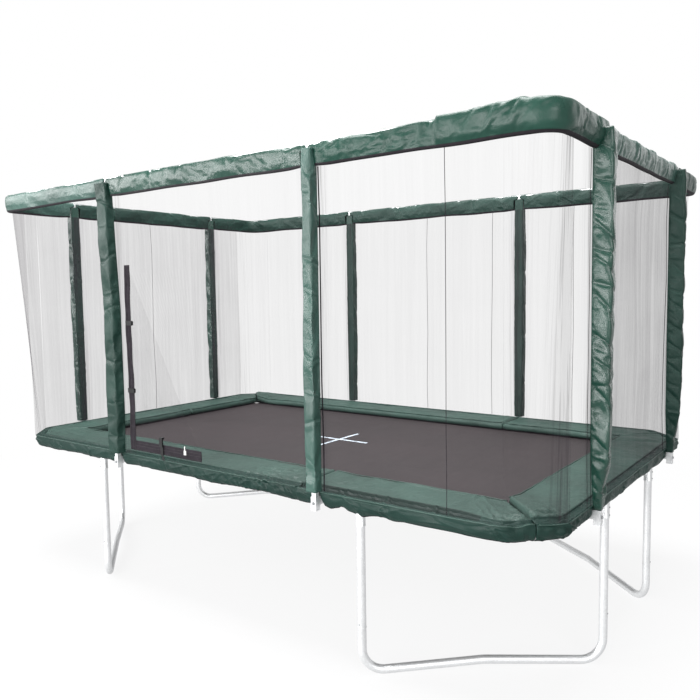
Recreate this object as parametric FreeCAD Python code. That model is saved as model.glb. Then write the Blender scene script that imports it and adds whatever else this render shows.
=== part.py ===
import FreeCAD, Part
import math
import os

# Rectangular trampoline with a safety enclosure.  Millimetres, Z up, X along the long sides,
# the entrance side faces -Y, and the origin is on the ground under the middle of the mat.

Vec = FreeCAD.Vector
os.makedirs("parts", exist_ok=True)

# Frame of round tube, laid on its centre lines
frame_length = 4170.0
frame_width = 2540.0
frame_tube_d = 50.0
frame_corner_cut = 200.0
frame_height = 900.0

# Legs
leg_offset_long = 1100.0
leg_offset_short = 440.0
leg_joint_gap = 50.0
leg_tube_d = 45.0
leg_bend_radius = 115.0
leg_bend_steps = 3
leg_middle_rise = 28.0
leg_joint_height = 254.0
leg_collar_length = 80.0
leg_collar_wall = 2.3

# Enclosure posts and the sockets that hold them
post_offset_long = 850.0
post_offset_short = 745.0
post_outboard = 59.0
post_width = 28.0
post_bottom = 852.0
socket_wall = 3.2
socket_bottom = 850.0
socket_top = 924.0
bracket_width = 30.0
bracket_height = 46.0

# Top rail, its clamps and its sleeves
rail_height = 2737.0
rail_corner_radius = 90.0
rail_bend_steps = 4
clamp_strap = 1.5
clamp_width = 26.0
clamp_drop = 70.0
rail_sleeve_width = 58.0
rail_sleeve_bottom = 2632.0
rail_sleeve_skin = 3.0
rail_sleeve_gap = 46.0
rail_sleeve_shoulder = 9.0

# Padded post sleeves
post_sleeve_width = 80.0
post_sleeve_depth = 62.0
post_sleeve_back_skin = 1.6
post_sleeve_edge = 14.0
post_sleeve_bottom = 955.0

# Safety net
net_thickness = 2.0
net_bottom = 930.0

# Jumping mat, its rings and springs
mat_thickness = 4.0
mat_corner_cut = 70.0
spring_reach = 215.0
spring_pitch = 210.0
springs_long_side = 17
springs_short_side = 9
spring_body_width = 18.0
spring_body_length = 138.0
spring_wire = 4.0
ring_base = 46.0
ring_reach = 32.0
ring_wire = 4.0

# Safety pads
pad_inner_long = 303.0
pad_inner_short = 300.0
pad_thickness = 30.0
pad_corner_cut = 220.0
pad_skirt_drop = 57.0
pad_skirt_thickness = 4.0
pad_notch_width = 46.0
pad_joint_front = 700.0
pad_joint_back = 880.0
pad_joint_left = 100.0
pad_joint_gap = 1.0

# Entrance in the front net: an L-shaped band, a three-cornered flap, a zip slider and clips
door_left = -675.0
door_foot = -75.0
door_right = -46.0
door_bottom = 1050.0
door_top = 2140.0
band_width = 55.0
band_bottom = 985.0
band_top = 2190.0
band_thickness = 3.0
flap_thickness = 1.6
flap_overlap = 12.0
flap_hinge_gap = 0.6
hinge_foot = (-46.0, 1005.0)
hinge_head = (-690.0, 2165.0)
slider_start = -190.0
slider_width = 20.0
slider_bottom = 1012.0
slider_height = 28.0
slider_thickness = 4.0
pull_width = 8.0
pull_overlap = 6.0
pull_height = 32.0
pull_thickness = 1.2
clip_width = 30.0
clip_thickness = 10.0
clip_shell = 2.0
clip_socket_length = 32.0
clip_plug_length = 28.0
clip_prong_length = 20.0
clip_prong_width = 6.0
clip_face = -690.0
clip_foot_length = 11.0
clip_upper_height = 1816.0
clip_middle_height = 1377.0
clip_lower_place = -405.0
clip_lower_face = 1070.0
clip_strap_width = 24.0
clip_strap_thickness = 1.6
clip_strap_bottom = 950.0

# Clearances
fit = 0.3
flap_gap = 0.4
post_fit = 0.3
pad_net_gap = 2.0

# How far a cutter reaches past what it cuts
over = 1.0

# Places that follow from the sizes above
half_length = frame_length / 2
half_width = frame_width / 2
frame_r = frame_tube_d / 2
leg_r = leg_tube_d / 2
leg_collar_mouth = frame_height - frame_r - leg_collar_length
half_post = post_width / 2
half_socket = half_post + post_fit + socket_wall
half_clamp = half_post + fit / 2 + clamp_strap
post_top = rail_height - half_post - fit
net_outer = post_outboard - half_clamp - fit - post_sleeve_back_skin - fit
net_inner = net_outer - net_thickness
pad_outer = net_inner - pad_net_gap
pad_bottom = frame_height + frame_r + fit
pad_top = pad_bottom + pad_thickness
pad_skirt_bottom = pad_bottom - pad_skirt_drop
mat_half_length = half_length - frame_r - spring_reach
mat_half_width = half_width - frame_r - spring_reach
bend_start_x = half_length + post_outboard - rail_corner_radius
bend_start_y = half_width + post_outboard - rail_corner_radius
net_corner_back = pad_corner_cut - pad_outer - pad_net_gap * (math.sqrt(2) - 1)
band_face = net_outer + band_thickness
strap_back = band_face + fit + slider_thickness + pull_thickness + 2 * fit
flap_outer = net_inner - flap_gap
flap_inner = flap_outer - flap_thickness

corners = {
    "front_left": (-1, -1),
    "front_right": (1, -1),
    "back_left": (-1, 1),
    "back_right": (1, 1),
}
sides = ("front", "right", "back", "left")


def save(shape, name):
    """Write one node; a list of solids becomes one group."""
    if isinstance(shape, list):
        shape = Part.makeCompound(shape)
    shape.exportStep("parts/" + name + ".step")


def box(low, high):
    """A block between two opposite corners."""
    size = Vec(*high) - Vec(*low)
    return Part.makeBox(size.x, size.y, size.z, Vec(*low))


def bar(start, end, radius):
    """A round bar between two points."""
    start, end = Vec(*start), Vec(*end)
    return Part.makeCylinder(radius, (end - start).Length, start, end - start)


def outline(points):
    """A closed wire through the points."""
    points = [Vec(*p) for p in points]
    return Part.makePolygon(points + points[:1])


def prism(points, push):
    """A flat outline pushed along a vector."""
    return Part.Face(outline(points)).extrude(Vec(*push))


def round_bar_along(points, radius):
    """A round bar that follows a line of straight runs, with mitred turns."""
    points = [Vec(*p) for p in points]
    ring = Part.Wire(Part.makeCircle(radius, points[0], points[1] - points[0]))
    return Part.Wire(Part.makePolygon(points)).makePipeShell([ring], True, False, 1)


def at_corner(shape, sign_x, sign_y):
    """A copy for another corner; the original stands at +X, -Y."""
    if sign_x < 0:
        shape = shape.mirror(Vec(0, 0, 0), Vec(1, 0, 0))
    if sign_y > 0:
        shape = shape.mirror(Vec(0, 0, 0), Vec(0, 1, 0))
    return shape


def side_frame(side):
    """Unit vectors along a side and out of it, its distance from the middle, and post offset."""
    if side in ("front", "back"):
        out = Vec(0, -1 if side == "front" else 1, 0)
        return Vec(1, 0, 0), out, half_width, post_offset_long
    out = Vec(1 if side == "right" else -1, 0, 0)
    return Vec(0, 1, 0), out, half_length, post_offset_short


def on_side(side, along, outboard, height):
    """A point given by its place along a side, its distance outboard of the frame line and height."""
    run, out, reach, _ = side_frame(side)
    return run * along + out * (reach + outboard) + Vec(0, 0, height)


def panel(side, shape_points, out_low, out_high):
    """A flat panel on a side, drawn along it and in height, and pushed outboard."""
    _, out, _, _ = side_frame(side)
    return prism([on_side(side, a, out_low, z) for a, z in shape_points], out * (out_high - out_low))


def section(side, shape_points, along_low, along_high):
    """A section on a side, drawn outboard and in height, and pushed along it."""
    run, _, _, _ = side_frame(side)
    points = [on_side(side, along_low, o, z) for o, z in shape_points]
    return prism(points, run * (along_high - along_low))


def block_on_side(side, along_low, along_high, out_low, out_high, low, high):
    """A block on a side, given along it, outboard of the frame line and in height."""
    corners_ = [(along_low, low), (along_high, low), (along_high, high), (along_low, high)]
    return panel(side, corners_, out_low, out_high)


def round_the_corner(shape_points, straight_x, straight_y):
    """A section carried round the front right corner in short mitred runs."""
    turn = math.pi / 2 / rail_bend_steps
    reach = rail_corner_radius / math.cos(turn / 2)
    line = [(straight_x, bend_start_y + rail_corner_radius)]
    for i in range(rail_bend_steps):
        angle = turn * (i + 0.5)
        line.append((bend_start_x + reach * math.sin(angle), bend_start_y + reach * math.cos(angle)))
    line.append((bend_start_x + rail_corner_radius, straight_y))
    path = Part.Wire(Part.makePolygon([Vec(x, -y, rail_height) for x, y in line]))
    profile = outline([(straight_x, -half_width - o, z) for o, z in shape_points])
    return path.makePipeShell([profile], True, False, 1)


def frame():
    """Straight tubes between the corner tubes; each corner tube carries two leg collars."""
    for side in sides:
        offset = leg_offset_long if side in ("front", "back") else leg_offset_short
        reach = offset - leg_joint_gap
        ends = [on_side(side, s * reach, 0, frame_height) for s in (-1, 1)]
        save(bar(ends[0], ends[1], frame_r), "frame_tube_" + side)
    corner = frame_corner_at_front_right()
    for name, (sign_x, sign_y) in corners.items():
        save(at_corner(corner, sign_x, sign_y), "frame_corner_" + name)


def frame_corner_at_front_right():
    """Corner tube with two bends and, under each end, the round collar that a leg stands in."""
    z = frame_height
    tube = round_bar_along([
        (leg_offset_long - leg_joint_gap, -half_width, z),
        (half_length - frame_corner_cut, -half_width, z),
        (half_length, -half_width + frame_corner_cut, z),
        (half_length, -leg_offset_short + leg_joint_gap, z),
    ], frame_r)
    for x, y in leg_places():
        tube = tube.fuse(bar((x, y, leg_collar_mouth), (x, y, z), leg_r + leg_collar_wall))
    return tube.removeSplitter()


def leg_places():
    """The two upright places of the leg at +X, -Y."""
    return [(leg_offset_long, -half_width), (half_length, -leg_offset_short)]


def leg_base_at_front_right():
    """U-shaped leg base: it rests on its two bends and its middle is raised a little."""
    (ax, ay), (bx, by) = leg_places()
    span = Vec(bx - ax, by - ay, 0)
    along = Vec(span).normalize()
    turn = math.pi / 2 / leg_bend_steps
    bend_end = leg_bend_radius * (1 - math.tan(turn / 2))
    slope = math.atan(leg_middle_rise / (span.Length / 2 - bend_end))
    foot = leg_r * math.cos((turn - slope) / 2) / math.cos((turn + slope) / 2)
    half = [(0.0, leg_joint_height)]
    for i in range(leg_bend_steps):
        angle = math.pi + turn * (i + 0.5)
        reach = leg_bend_radius / math.cos(turn / 2)
        half.append((leg_bend_radius + reach * math.cos(angle),
                     foot + leg_bend_radius + reach * math.sin(angle)))
    middle = [(span.Length / 2, foot + leg_middle_rise)]
    line = half + middle + [(span.Length - s, z) for s, z in reversed(half)]
    points = [Vec(ax, ay, z) + along * s for s, z in line]
    return round_bar_along(points, leg_r)


def legs():
    """Leg bases and the straight uprights between a base and its collar on the frame."""
    base = leg_base_at_front_right()
    uprights = []
    for name, (sign_x, sign_y) in corners.items():
        save(at_corner(base, sign_x, sign_y), "leg_base_" + name)
        for x, y in leg_places():
            foot = Vec(sign_x * x, -sign_y * y, leg_joint_height)
            uprights.append(bar(foot, Vec(foot.x, foot.y, leg_collar_mouth), leg_r))
    save(uprights, "leg_uprights")


def hollow_post_block(side, along, half_outer, half_inner, low, high):
    """A square tube round a post place."""
    outer = block_on_side(side, along - half_outer, along + half_outer,
                          post_outboard - half_outer, post_outboard + half_outer, low, high)
    inner = block_on_side(side, along - half_inner, along + half_inner,
                          post_outboard - half_inner, post_outboard + half_inner, low - over, high + over)
    return outer.cut(inner)


def bracket_section():
    """Saddle bracket in section: three flats that touch the frame tube, and a flat back."""
    half = bracket_height / 2
    flat = frame_r * math.tan(math.pi / 8)
    tip = frame_r * math.sqrt(2) - half
    back = post_outboard - half_socket
    shape = [(back, -half), (tip, -half), (frame_r, -flat), (frame_r, flat), (tip, half), (back, half)]
    return [(o, frame_height + z) for o, z in shape]


def posts_and_sockets():
    """Square posts, each in an open socket whose saddle bracket seats on the frame tube."""
    sockets = []
    for side in sides:
        _, _, _, offset = side_frame(side)
        posts = []
        for along in (-offset, offset):
            bore = half_post + post_fit
            socket = hollow_post_block(side, along, half_socket, bore, socket_bottom, socket_top)
            half_bracket = bracket_width / 2
            bracket = section(side, bracket_section(), along - half_bracket, along + half_bracket)
            sockets.append(socket.fuse(bracket).removeSplitter())
            posts.append(block_on_side(side, along - half_post, along + half_post,
                                       post_outboard - half_post, post_outboard + half_post,
                                       post_bottom, post_top))
        save(posts, "posts_" + side)
    save(sockets, "post_sockets")


def post_sleeves():
    """Soft square sleeves, flat at the net side and with bevelled outer edges."""
    back = net_outer + fit
    front = back + post_sleeve_depth
    half = post_sleeve_width / 2
    edge = post_sleeve_edge
    bore = half_clamp + fit
    for side in sides:
        run, _, _, offset = side_frame(side)
        sleeves = []
        for along in (-offset, offset):
            plan = [(-half, back), (half, back), (half, front - edge), (half - edge, front),
                    (-half + edge, front), (-half, front - edge)]
            points = [on_side(side, along + a, o, post_sleeve_bottom) for a, o in plan]
            sleeve = prism(points, Vec(0, 0, post_top - post_sleeve_bottom))
            hollow = block_on_side(side, along - bore, along + bore,
                                   post_outboard - bore, post_outboard + bore,
                                   post_sleeve_bottom - over, post_top + over)
            sleeves.append(sleeve.cut(hollow))
        save(sleeves, "post_sleeves_" + side)


def rail():
    """Square rail tubes and their four bends, held down on the posts by strap clamps."""
    square = [(post_outboard + a * half_post, rail_height + b * half_post)
              for a, b in ((-1, -1), (1, -1), (1, 1), (-1, 1))]
    tubes = []
    clamps = []
    for side in sides:
        _, _, _, offset = side_frame(side)
        tubes.append(section(side, square, -offset - clamp_width, offset + clamp_width))
        inner = half_post + fit / 2
        outer = half_clamp
        top = rail_height + half_post + fit / 2
        strap = [(inner, top), (-inner, top), (-inner, top - clamp_drop), (-outer, top - clamp_drop),
                 (-outer, top + clamp_strap), (outer, top + clamp_strap), (outer, top - clamp_drop),
                 (inner, top - clamp_drop)]
        strap = [(post_outboard + o, z) for o, z in strap]
        for along in (-offset, offset):
            clamps.append(section(side, strap, along - clamp_width / 2, along + clamp_width / 2))
    bend = round_the_corner(square, post_offset_long + clamp_width, post_offset_short + clamp_width)
    save(tubes, "rail_tubes")
    save([at_corner(bend, sx, sy) for sx, sy in corners.values()], "rail_corners")
    save(clamps, "rail_clamps")


def rail_sleeves():
    """Fabric sleeves that hang over the rail between the posts and round the corners."""
    half = rail_sleeve_width / 2
    skin = rail_sleeve_skin
    low = rail_sleeve_bottom
    under = rail_height + half_post + fit
    top = under + skin
    edge = rail_sleeve_shoulder
    hang = [(-half, low), (-half, top - edge), (-half + edge, top), (half - edge, top),
            (half, top - edge), (half, low), (half - skin, low), (half - skin, under - edge),
            (half - edge, under), (-half + edge, under), (-half + skin, under - edge), (-half + skin, low)]
    hang = [(post_outboard + o, z) for o, z in hang]
    for side in sides:
        _, _, _, offset = side_frame(side)
        reach = offset - rail_sleeve_gap
        save(section(side, hang, -reach, reach), "rail_sleeve_" + side)
    corner = round_the_corner(hang, post_offset_long + rail_sleeve_gap,
                              post_offset_short + rail_sleeve_gap)
    for name, (sign_x, sign_y) in corners.items():
        save(at_corner(corner, sign_x, sign_y), "rail_sleeve_corner_" + name)


def nets():
    """Four net walls inside the posts and four corner pieces; the front wall has the doorway."""
    low = net_bottom
    high = rail_sleeve_bottom - fit
    x_end = half_length - net_corner_back
    y_end = half_width - net_corner_back
    wall = [(net_inner, low), (net_outer, low), (net_outer, high), (net_inner, high)]
    for side, reach in (("right", y_end), ("back", x_end), ("left", y_end)):
        save(section(side, wall, -reach, reach), "net_" + side)
    front = [
        [(-x_end, low), (door_left, low), (door_left, high), (-x_end, high)],
        [(door_left, low), (door_right, low), (door_right, door_bottom), (door_left, door_bottom)],
        [(door_foot, door_bottom), (door_right, door_bottom), (door_right, high), (door_left, high),
         (door_left, door_top)],
        [(door_right, low), (x_end, low), (x_end, high), (door_right, high)],
    ]
    save([panel("front", piece, net_inner, net_outer) for piece in front], "net_front")
    bend = net_corner_at_front_right(x_end, y_end, low, high)
    save([at_corner(bend, sx, sy) for sx, sy in corners.values()], "net_corners")


def net_corner_at_front_right(x_end, y_end, low, high):
    """Corner net: rounded like the rail at its top, cut across like the pads at its foot.

    Flat triangles fan out from the two foot corners to the points of the top edge.
    """
    skins = []
    for reach in (net_outer, net_inner):
        x, y = half_length + reach, half_width + reach
        radius = rail_corner_radius - post_outboard + reach
        top = [(x_end, y)]
        for i in range(rail_bend_steps + 1):
            angle = math.pi / 2 * i / rail_bend_steps
            top.append((x - radius * (1 - math.sin(angle)), y - radius * (1 - math.cos(angle))))
        top.append((x, y_end))
        foot = [Vec(x_end, -y, low), Vec(x, -y_end, low)]
        skins.append((foot, [Vec(a, -b, high) for a, b in top]))
    (foot, top), (foot_in, top_in) = skins
    middle = len(top) // 2
    faces = []
    for (a, b), points in skins:
        faces += [(a, points[i], points[i + 1]) for i in range(middle)]
        faces += [(b, points[i], points[i + 1]) for i in range(middle, len(points) - 1)]
        faces.append((a, points[middle], b))
    faces += [(top[i], top[i + 1], top_in[i + 1], top_in[i]) for i in range(len(top) - 1)]
    faces.append((foot[0], foot[1], foot_in[1], foot_in[0]))
    faces.append((foot[0], top[0], top_in[0], foot_in[0]))
    faces.append((foot[1], top[-1], top_in[-1], foot_in[1]))
    shell = Part.Shell([Part.Face(outline(face)) for face in faces])
    shell.sewShape()
    solid = Part.Solid(shell)
    return solid if solid.Volume > 0 else solid.reversed()


def mat_and_springs():
    """Mat with sewn rings all round, and a spring from each ring to the frame."""
    x, y, cut = mat_half_length, mat_half_width, mat_corner_cut
    edge = [(x, -y + cut), (x, y - cut), (x - cut, y), (-x + cut, y),
            (-x, y - cut), (-x, -y + cut), (-x + cut, -y), (x - cut, -y)]
    low = frame_height - mat_thickness
    save(prism([(a, b, low) for a, b in edge], (0, 0, mat_thickness)), "jump_mat")
    rings = []
    springs = []
    for at, inward, reach in spring_stations():
        rings.append(placed(ring(reach), at, inward))
        springs.extend(placed(piece, at, inward) for piece in spring(reach))
    save(rings, "v_rings")
    save(springs, "springs")


def spring_stations():
    """Point on the frame's inner face, inward direction and distance to the mat of every spring."""
    stations = []
    height = frame_height - mat_thickness / 2
    for side in sides:
        _, out, _, _ = side_frame(side)
        count = springs_long_side if side in ("front", "back") else springs_short_side
        for i in range(count):
            along = (i - (count - 1) / 2) * spring_pitch
            stations.append((on_side(side, along, -frame_r, height), out * -1, spring_reach))
    middle_gap = spring_reach + frame_r - frame_corner_cut / 2 + mat_corner_cut / 2
    reach = middle_gap * math.sqrt(2) - frame_r
    for sign_x, sign_y in corners.values():
        inward = Vec(-sign_x, -sign_y, 0).normalize()
        chamfer = Vec(sign_x * (half_length - frame_corner_cut / 2),
                      sign_y * (half_width - frame_corner_cut / 2), height)
        stations.append((chamfer + inward * frame_r, inward, reach))
    return stations


def placed(shape, at, inward):
    """Turn a shape drawn along +X onto a spring station."""
    shape = shape.copy()
    shape.rotate(Vec(0, 0, 0), Vec(0, 0, 1), math.degrees(math.atan2(inward.y, inward.x)))
    shape.translate(at)
    return shape


def ring(reach):
    """Three-cornered wire ring with its base at the mat's edge."""
    z = -ring_wire / 2
    half = ring_base / 2
    tip = reach - ring_reach
    outer = Part.Face(outline([(reach, -half, z), (reach, half, z), (tip, 0, z)]))
    slant = ring_wire * math.hypot(half, ring_reach) / half
    shrink = half * (1 - (ring_wire + slant) / ring_reach)
    base = reach - ring_wire
    inner = Part.Face(outline([(base, -shrink, z), (base, shrink, z), (tip + slant, 0, z)]))
    return outer.cut(inner).extrude(Vec(0, 0, ring_wire))


def spring(reach):
    """Coil of one spring, its straight hook to the frame and its hook over the ring's tip."""
    half = spring_body_width / 2
    wire = spring_wire / 2
    start = (reach - ring_reach - spring_body_length) / 2
    end = start + spring_body_length
    tip = reach - ring_reach + 3 * ring_wire
    lift = ring_wire / 2 + fit
    coil = box((start, -half, -half), (end, half, half))
    tail = box((fit, -wire, -wire), (start, wire, wire))
    hook = box((end, -wire, lift), (tip, wire, lift + spring_wire))
    return [coil, tail, hook]


def pads():
    """Seven pads on the frame and springs, with an outer skirt notched round the post brackets."""
    x, y = half_length + pad_outer, half_width + pad_outer
    in_x, in_y = half_length - pad_inner_short, half_width - pad_inner_long
    cut = pad_corner_cut
    slab = Part.Face(eight_sided(x, y, cut, pad_bottom)).extrude(Vec(0, 0, pad_thickness))
    slab = slab.cut(box((-in_x, -in_y, pad_bottom - over), (in_x, in_y, pad_top + over)))
    t = pad_skirt_thickness
    inside_cut = cut - t * (2 - math.sqrt(2))
    skirt_up = Vec(0, 0, pad_bottom - pad_skirt_bottom)
    skirt = Part.Face(eight_sided(x, y, cut, pad_skirt_bottom)).extrude(skirt_up)
    inside = Part.Face(eight_sided(x - t, y - t, inside_cut, pad_skirt_bottom))
    skirt = skirt.cut(inside.extrude(skirt_up))
    notches = []
    half_notch = pad_notch_width / 2
    for side in sides:
        _, _, _, offset = side_frame(side)
        for along in (-offset, offset):
            notches.append(block_on_side(side, along - half_notch, along + half_notch,
                                         frame_r, pad_outer + over, pad_skirt_bottom - over, pad_bottom))
    ring_ = slab.fuse(skirt).cut(Part.makeCompound(notches)).removeSplitter()
    for name, region in pad_regions(x, y, in_x, in_y).items():
        lows = [(px, py, pad_skirt_bottom - over) for px, py in region]
        piece = ring_.common(prism(lows, (0, 0, pad_top - pad_skirt_bottom + 2 * over)))
        save(piece, name)


def eight_sided(x, y, cut, z):
    """Outline of a rectangle with its corners cut at 45 degrees."""
    return outline([(x, -y + cut, z), (x, y - cut, z), (x - cut, y, z), (-x + cut, y, z),
                    (-x, y - cut, z), (-x, -y + cut, z), (-x + cut, -y, z), (x - cut, -y, z)])


def pad_regions(x, y, in_x, in_y):
    """Plan regions of the pads: mitred at the corners, square joints between."""
    g = pad_joint_gap / 2
    d = g * math.sqrt(2)
    far_x, far_y = in_x + (x - in_x) * 2, in_y + (x - in_x) * 2
    near = 50.0
    near_x, near_y = in_x - near, in_y - near

    def front(low, high, sign):
        """Region on a long side; an end given as None runs into the corner mitre."""
        left_far, left_near = (-far_x + d, -near_x + d) if low is None else (low + g, low + g)
        right_far, right_near = (far_x - d, near_x - d) if high is None else (high - g, high - g)
        return [(left_near, sign * near_y), (left_far, sign * far_y), (right_far, sign * far_y),
                (right_near, sign * near_y)]

    def end(low, high, sign):
        """Region on a short side; an end given as None runs into the corner mitre."""
        low_far, low_near = (-far_y + d, -near_y + d) if low is None else (low + g, low + g)
        high_far, high_near = (far_y - d, near_y - d) if high is None else (high - g, high - g)
        return [(sign * near_x, low_near), (sign * far_x, low_far), (sign * far_x, high_far),
                (sign * near_x, high_near)]

    return {
        "pad_front_left": front(None, pad_joint_front, -1),
        "pad_front_right": front(pad_joint_front, None, -1),
        "pad_right": end(None, None, 1),
        "pad_back_right": front(pad_joint_back, None, 1),
        "pad_back_left": front(None, pad_joint_back, 1),
        "pad_left_back": end(pad_joint_left, None, -1),
        "pad_left_front": end(None, pad_joint_left, -1),
    }


def entrance():
    """Band round the doorway, the flap behind it, and the zip slider with its pull."""
    left = door_left - band_width
    band = [(left, band_bottom), (door_right, band_bottom), (door_right, door_bottom),
            (door_left, door_bottom), (door_left, band_top), (left, band_top)]
    save(panel("front", band, net_outer, band_face), "entry_band")
    save(panel("front", flap_outline(), flap_inner, flap_outer), "entry_flap")
    half = slider_width / 2
    back = band_face + fit
    front = back + slider_thickness
    top = slider_bottom + slider_height
    body = block_on_side("front", slider_start - half, slider_start + half, back, front,
                         slider_bottom, top)
    half = pull_width / 2
    pull_bottom = top - pull_overlap
    pull = block_on_side("front", slider_start - half, slider_start + half,
                         front, front + pull_thickness, pull_bottom, pull_bottom + pull_height)
    save(body.fuse(pull), "zip_slider")


def flap_outline():
    """Three-cornered flap: it laps behind the doorway's edges and stops short of its hinge line."""
    (x1, z1), (x2, z2) = hinge_foot, hinge_head
    slope = (z2 - z1) / (x2 - x1)
    shift = flap_hinge_gap * math.sqrt(1 + 1 / slope ** 2)
    left = door_left - flap_overlap
    bottom = door_bottom - flap_overlap
    right = x1 + (bottom - z1) / slope - shift
    top = z1 + (left + shift - x1) * slope
    return [(left, bottom), (right, bottom), (left, top)]


def clips():
    """Side-release clips: sockets on the outside, plugs that belong to the flap."""
    sockets = []
    for name, height in (("upper", clip_upper_height), ("middle", clip_middle_height)):
        sockets.append(clip_socket(band_face, lambda u, v, z=height: (clip_face + u, z + v)))
        plug = clip_plug(band_face, lambda u, v, z=height: (clip_face + u, z + v))
        save(plug, "clip_plug_" + name)
    lower = clip_socket(strap_back, lambda u, v: (clip_lower_place - v, clip_lower_face + u))
    foot_top = band_bottom - fit
    rise = strap_back - net_outer
    base = clip_lower_face - clip_socket_length
    t = clip_strap_thickness
    strap = [(net_outer, clip_strap_bottom), (net_outer + t, clip_strap_bottom),
             (net_outer + t, foot_top - rise - t), (strap_back + t, foot_top), (strap_back + t, base),
             (strap_back, base), (strap_back, foot_top + t / 2), (net_outer, foot_top - rise - t / 2)]
    half = clip_strap_width / 2
    strap = section("front", strap, clip_lower_place - half, clip_lower_place + half)
    sockets.append(lower.fuse(strap))
    save(sockets, "clip_sockets")
    save(clip_plug(strap_back, lambda u, v: (clip_lower_place - v, clip_lower_face + u)), "clip_plug_lower")


def clip_socket(back, place):
    """Socket shell, open towards the plug; u runs to the plug and v across the clip."""
    half = clip_width / 2
    s = clip_shell
    shell = [place(-clip_socket_length, -half), place(0, -half), place(0, half),
             place(-clip_socket_length, half)]
    hollow = [place(-clip_prong_length - fit, -half + s), place(over, -half + s), place(over, half - s),
              place(-clip_prong_length - fit, half - s)]
    outer = panel("front", shell, back, back + clip_thickness)
    return outer.cut(panel("front", hollow, back + s, back + clip_thickness - s))


def clip_plug(back, place):
    """Plug with two prongs in the socket and a foot that reaches in through the doorway to the flap."""
    half = clip_width / 2
    s = clip_shell + fit
    prong = clip_prong_width
    length = clip_plug_length
    tip = -clip_prong_length
    upper = [(fit, half), (fit, half - s), (tip, half - s), (tip, half - s - prong), (fit, half - s - prong)]
    lower = [(u, -v) for u, v in reversed(upper)]
    shape = upper + lower + [(length, -half), (length, half)]
    thin = panel("front", [place(u, v) for u, v in shape], back + s, back + clip_thickness - s)
    body = [place(fit, -half), place(length, -half), place(length, half), place(fit, half)]
    foot_start = length - clip_foot_length
    foot = [place(foot_start, -half + s), place(length, -half + s), place(length, half - s),
            place(foot_start, half - s)]
    solid = thin.fuse([panel("front", body, back + fit, back + clip_thickness),
                       panel("front", foot, flap_outer + fit, back + fit)])
    return solid.removeSplitter()


frame()
legs()
posts_and_sockets()
post_sleeves()
rail()
rail_sleeves()
nets()
mat_and_springs()
pads()
entrance()
clips()
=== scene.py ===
import math
import bmesh
import bpy
import numpy as np
from mathutils import Matrix, Vector


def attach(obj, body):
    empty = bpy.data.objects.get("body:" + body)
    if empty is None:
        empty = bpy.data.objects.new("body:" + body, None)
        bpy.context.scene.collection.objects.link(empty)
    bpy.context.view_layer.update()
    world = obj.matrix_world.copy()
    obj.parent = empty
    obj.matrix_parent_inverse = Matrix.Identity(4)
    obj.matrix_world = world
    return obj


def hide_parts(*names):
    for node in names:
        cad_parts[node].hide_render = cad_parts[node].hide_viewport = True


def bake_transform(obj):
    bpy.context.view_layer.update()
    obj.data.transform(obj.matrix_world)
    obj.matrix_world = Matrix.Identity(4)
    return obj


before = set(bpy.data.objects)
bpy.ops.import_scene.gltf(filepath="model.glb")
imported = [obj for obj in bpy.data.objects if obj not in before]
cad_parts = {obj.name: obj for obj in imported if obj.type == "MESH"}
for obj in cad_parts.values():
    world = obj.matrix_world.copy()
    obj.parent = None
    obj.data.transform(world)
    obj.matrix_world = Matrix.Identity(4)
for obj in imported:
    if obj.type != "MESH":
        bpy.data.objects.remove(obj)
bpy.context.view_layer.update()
scene = bpy.context.scene
scene.view_settings.view_transform = "Standard"

# Sizes of the trampoline in metres: X along the long sides, the doorway side faces -Y, Z up.
HALF_LENGTH = 2.085
HALF_WIDTH = 1.270
FRAME_Z = 0.900
FRAME_R = 0.025
FRAME_CUT = 0.200
LEG_X = 1.100
LEG_Y = 0.440
LEG_R = 0.0225
LEG_BEND = 0.115
LEG_RISE = 0.028
LEG_JOINT_Z = 0.254
COLLAR_MOUTH_Z = 0.795
COLLAR_R = 0.0252
POST_OUT = 0.059
POST_ALONG = {"long": 0.850, "short": 0.745}
NET_OUT = 0.040
NET_LOW = 0.950
NET_HIGH = 2.640
RAIL_TOP = 2.7545
RAIL_HEM = 2.632
RAIL_RADIUS = 0.090
NET_CORNER_BACK = 0.182
RAIL_GAP = 0.044
PAD_LOW = 0.9255
PAD_TOP = 0.955
PAD_OUT = 0.036
PAD_IN = 0.300
PAD_CUT = 0.220
PAD_WIDTH = 0.336
PAD_LIFT_REACH = 0.16
MAT_CUT = 0.070
MAT_Z = 0.898
MAT_HALF_THICK = 0.002
SPRING_PITCH = 0.210
SPRING_REACH = 0.215
SLEEVE_BACK = 0.0418
SLEEVE_GIRTH = 0.29
UP = np.array([0.0, 0.0, 1.0])

SIDES = {
    "front": ((1, 0), (0, -1), HALF_WIDTH, POST_ALONG["long"]),
    "right": ((0, 1), (1, 0), HALF_LENGTH, POST_ALONG["short"]),
    "back": ((1, 0), (0, 1), HALF_WIDTH, POST_ALONG["long"]),
    "left": ((0, 1), (-1, 0), HALF_LENGTH, POST_ALONG["short"]),
}
CORNERS = {"front_left": (-1, -1), "front_right": (1, -1), "back_left": (-1, 1), "back_right": (1, 1)}


# Geometry helpers

def on_side(side, along, out, z):
    """Place on a side: the side's run times along, plus its outward direction times (reach + out)."""
    run, outward, reach, _ = SIDES[side]
    along, out, z = np.broadcast_arrays(*(np.asarray(value, float) for value in (along, out, z)))
    x = run[0] * along + outward[0] * (reach + out)
    y = run[1] * along + outward[1] * (reach + out)
    return np.stack([x, y, z], -1)


def outward_of(side):
    """Unit vector that points straight out of a side."""
    return np.array([*SIDES[side][1], 0.0])


def unit(vectors):
    """Vectors of length 1 in the same directions."""
    return vectors / np.linalg.norm(vectors, axis=-1, keepdims=True)


def bell(value, middle, width):
    """Bell curve: 1 at the middle, falling off over the width on both sides."""
    return np.exp(-((value - middle) / width) ** 2)


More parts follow.
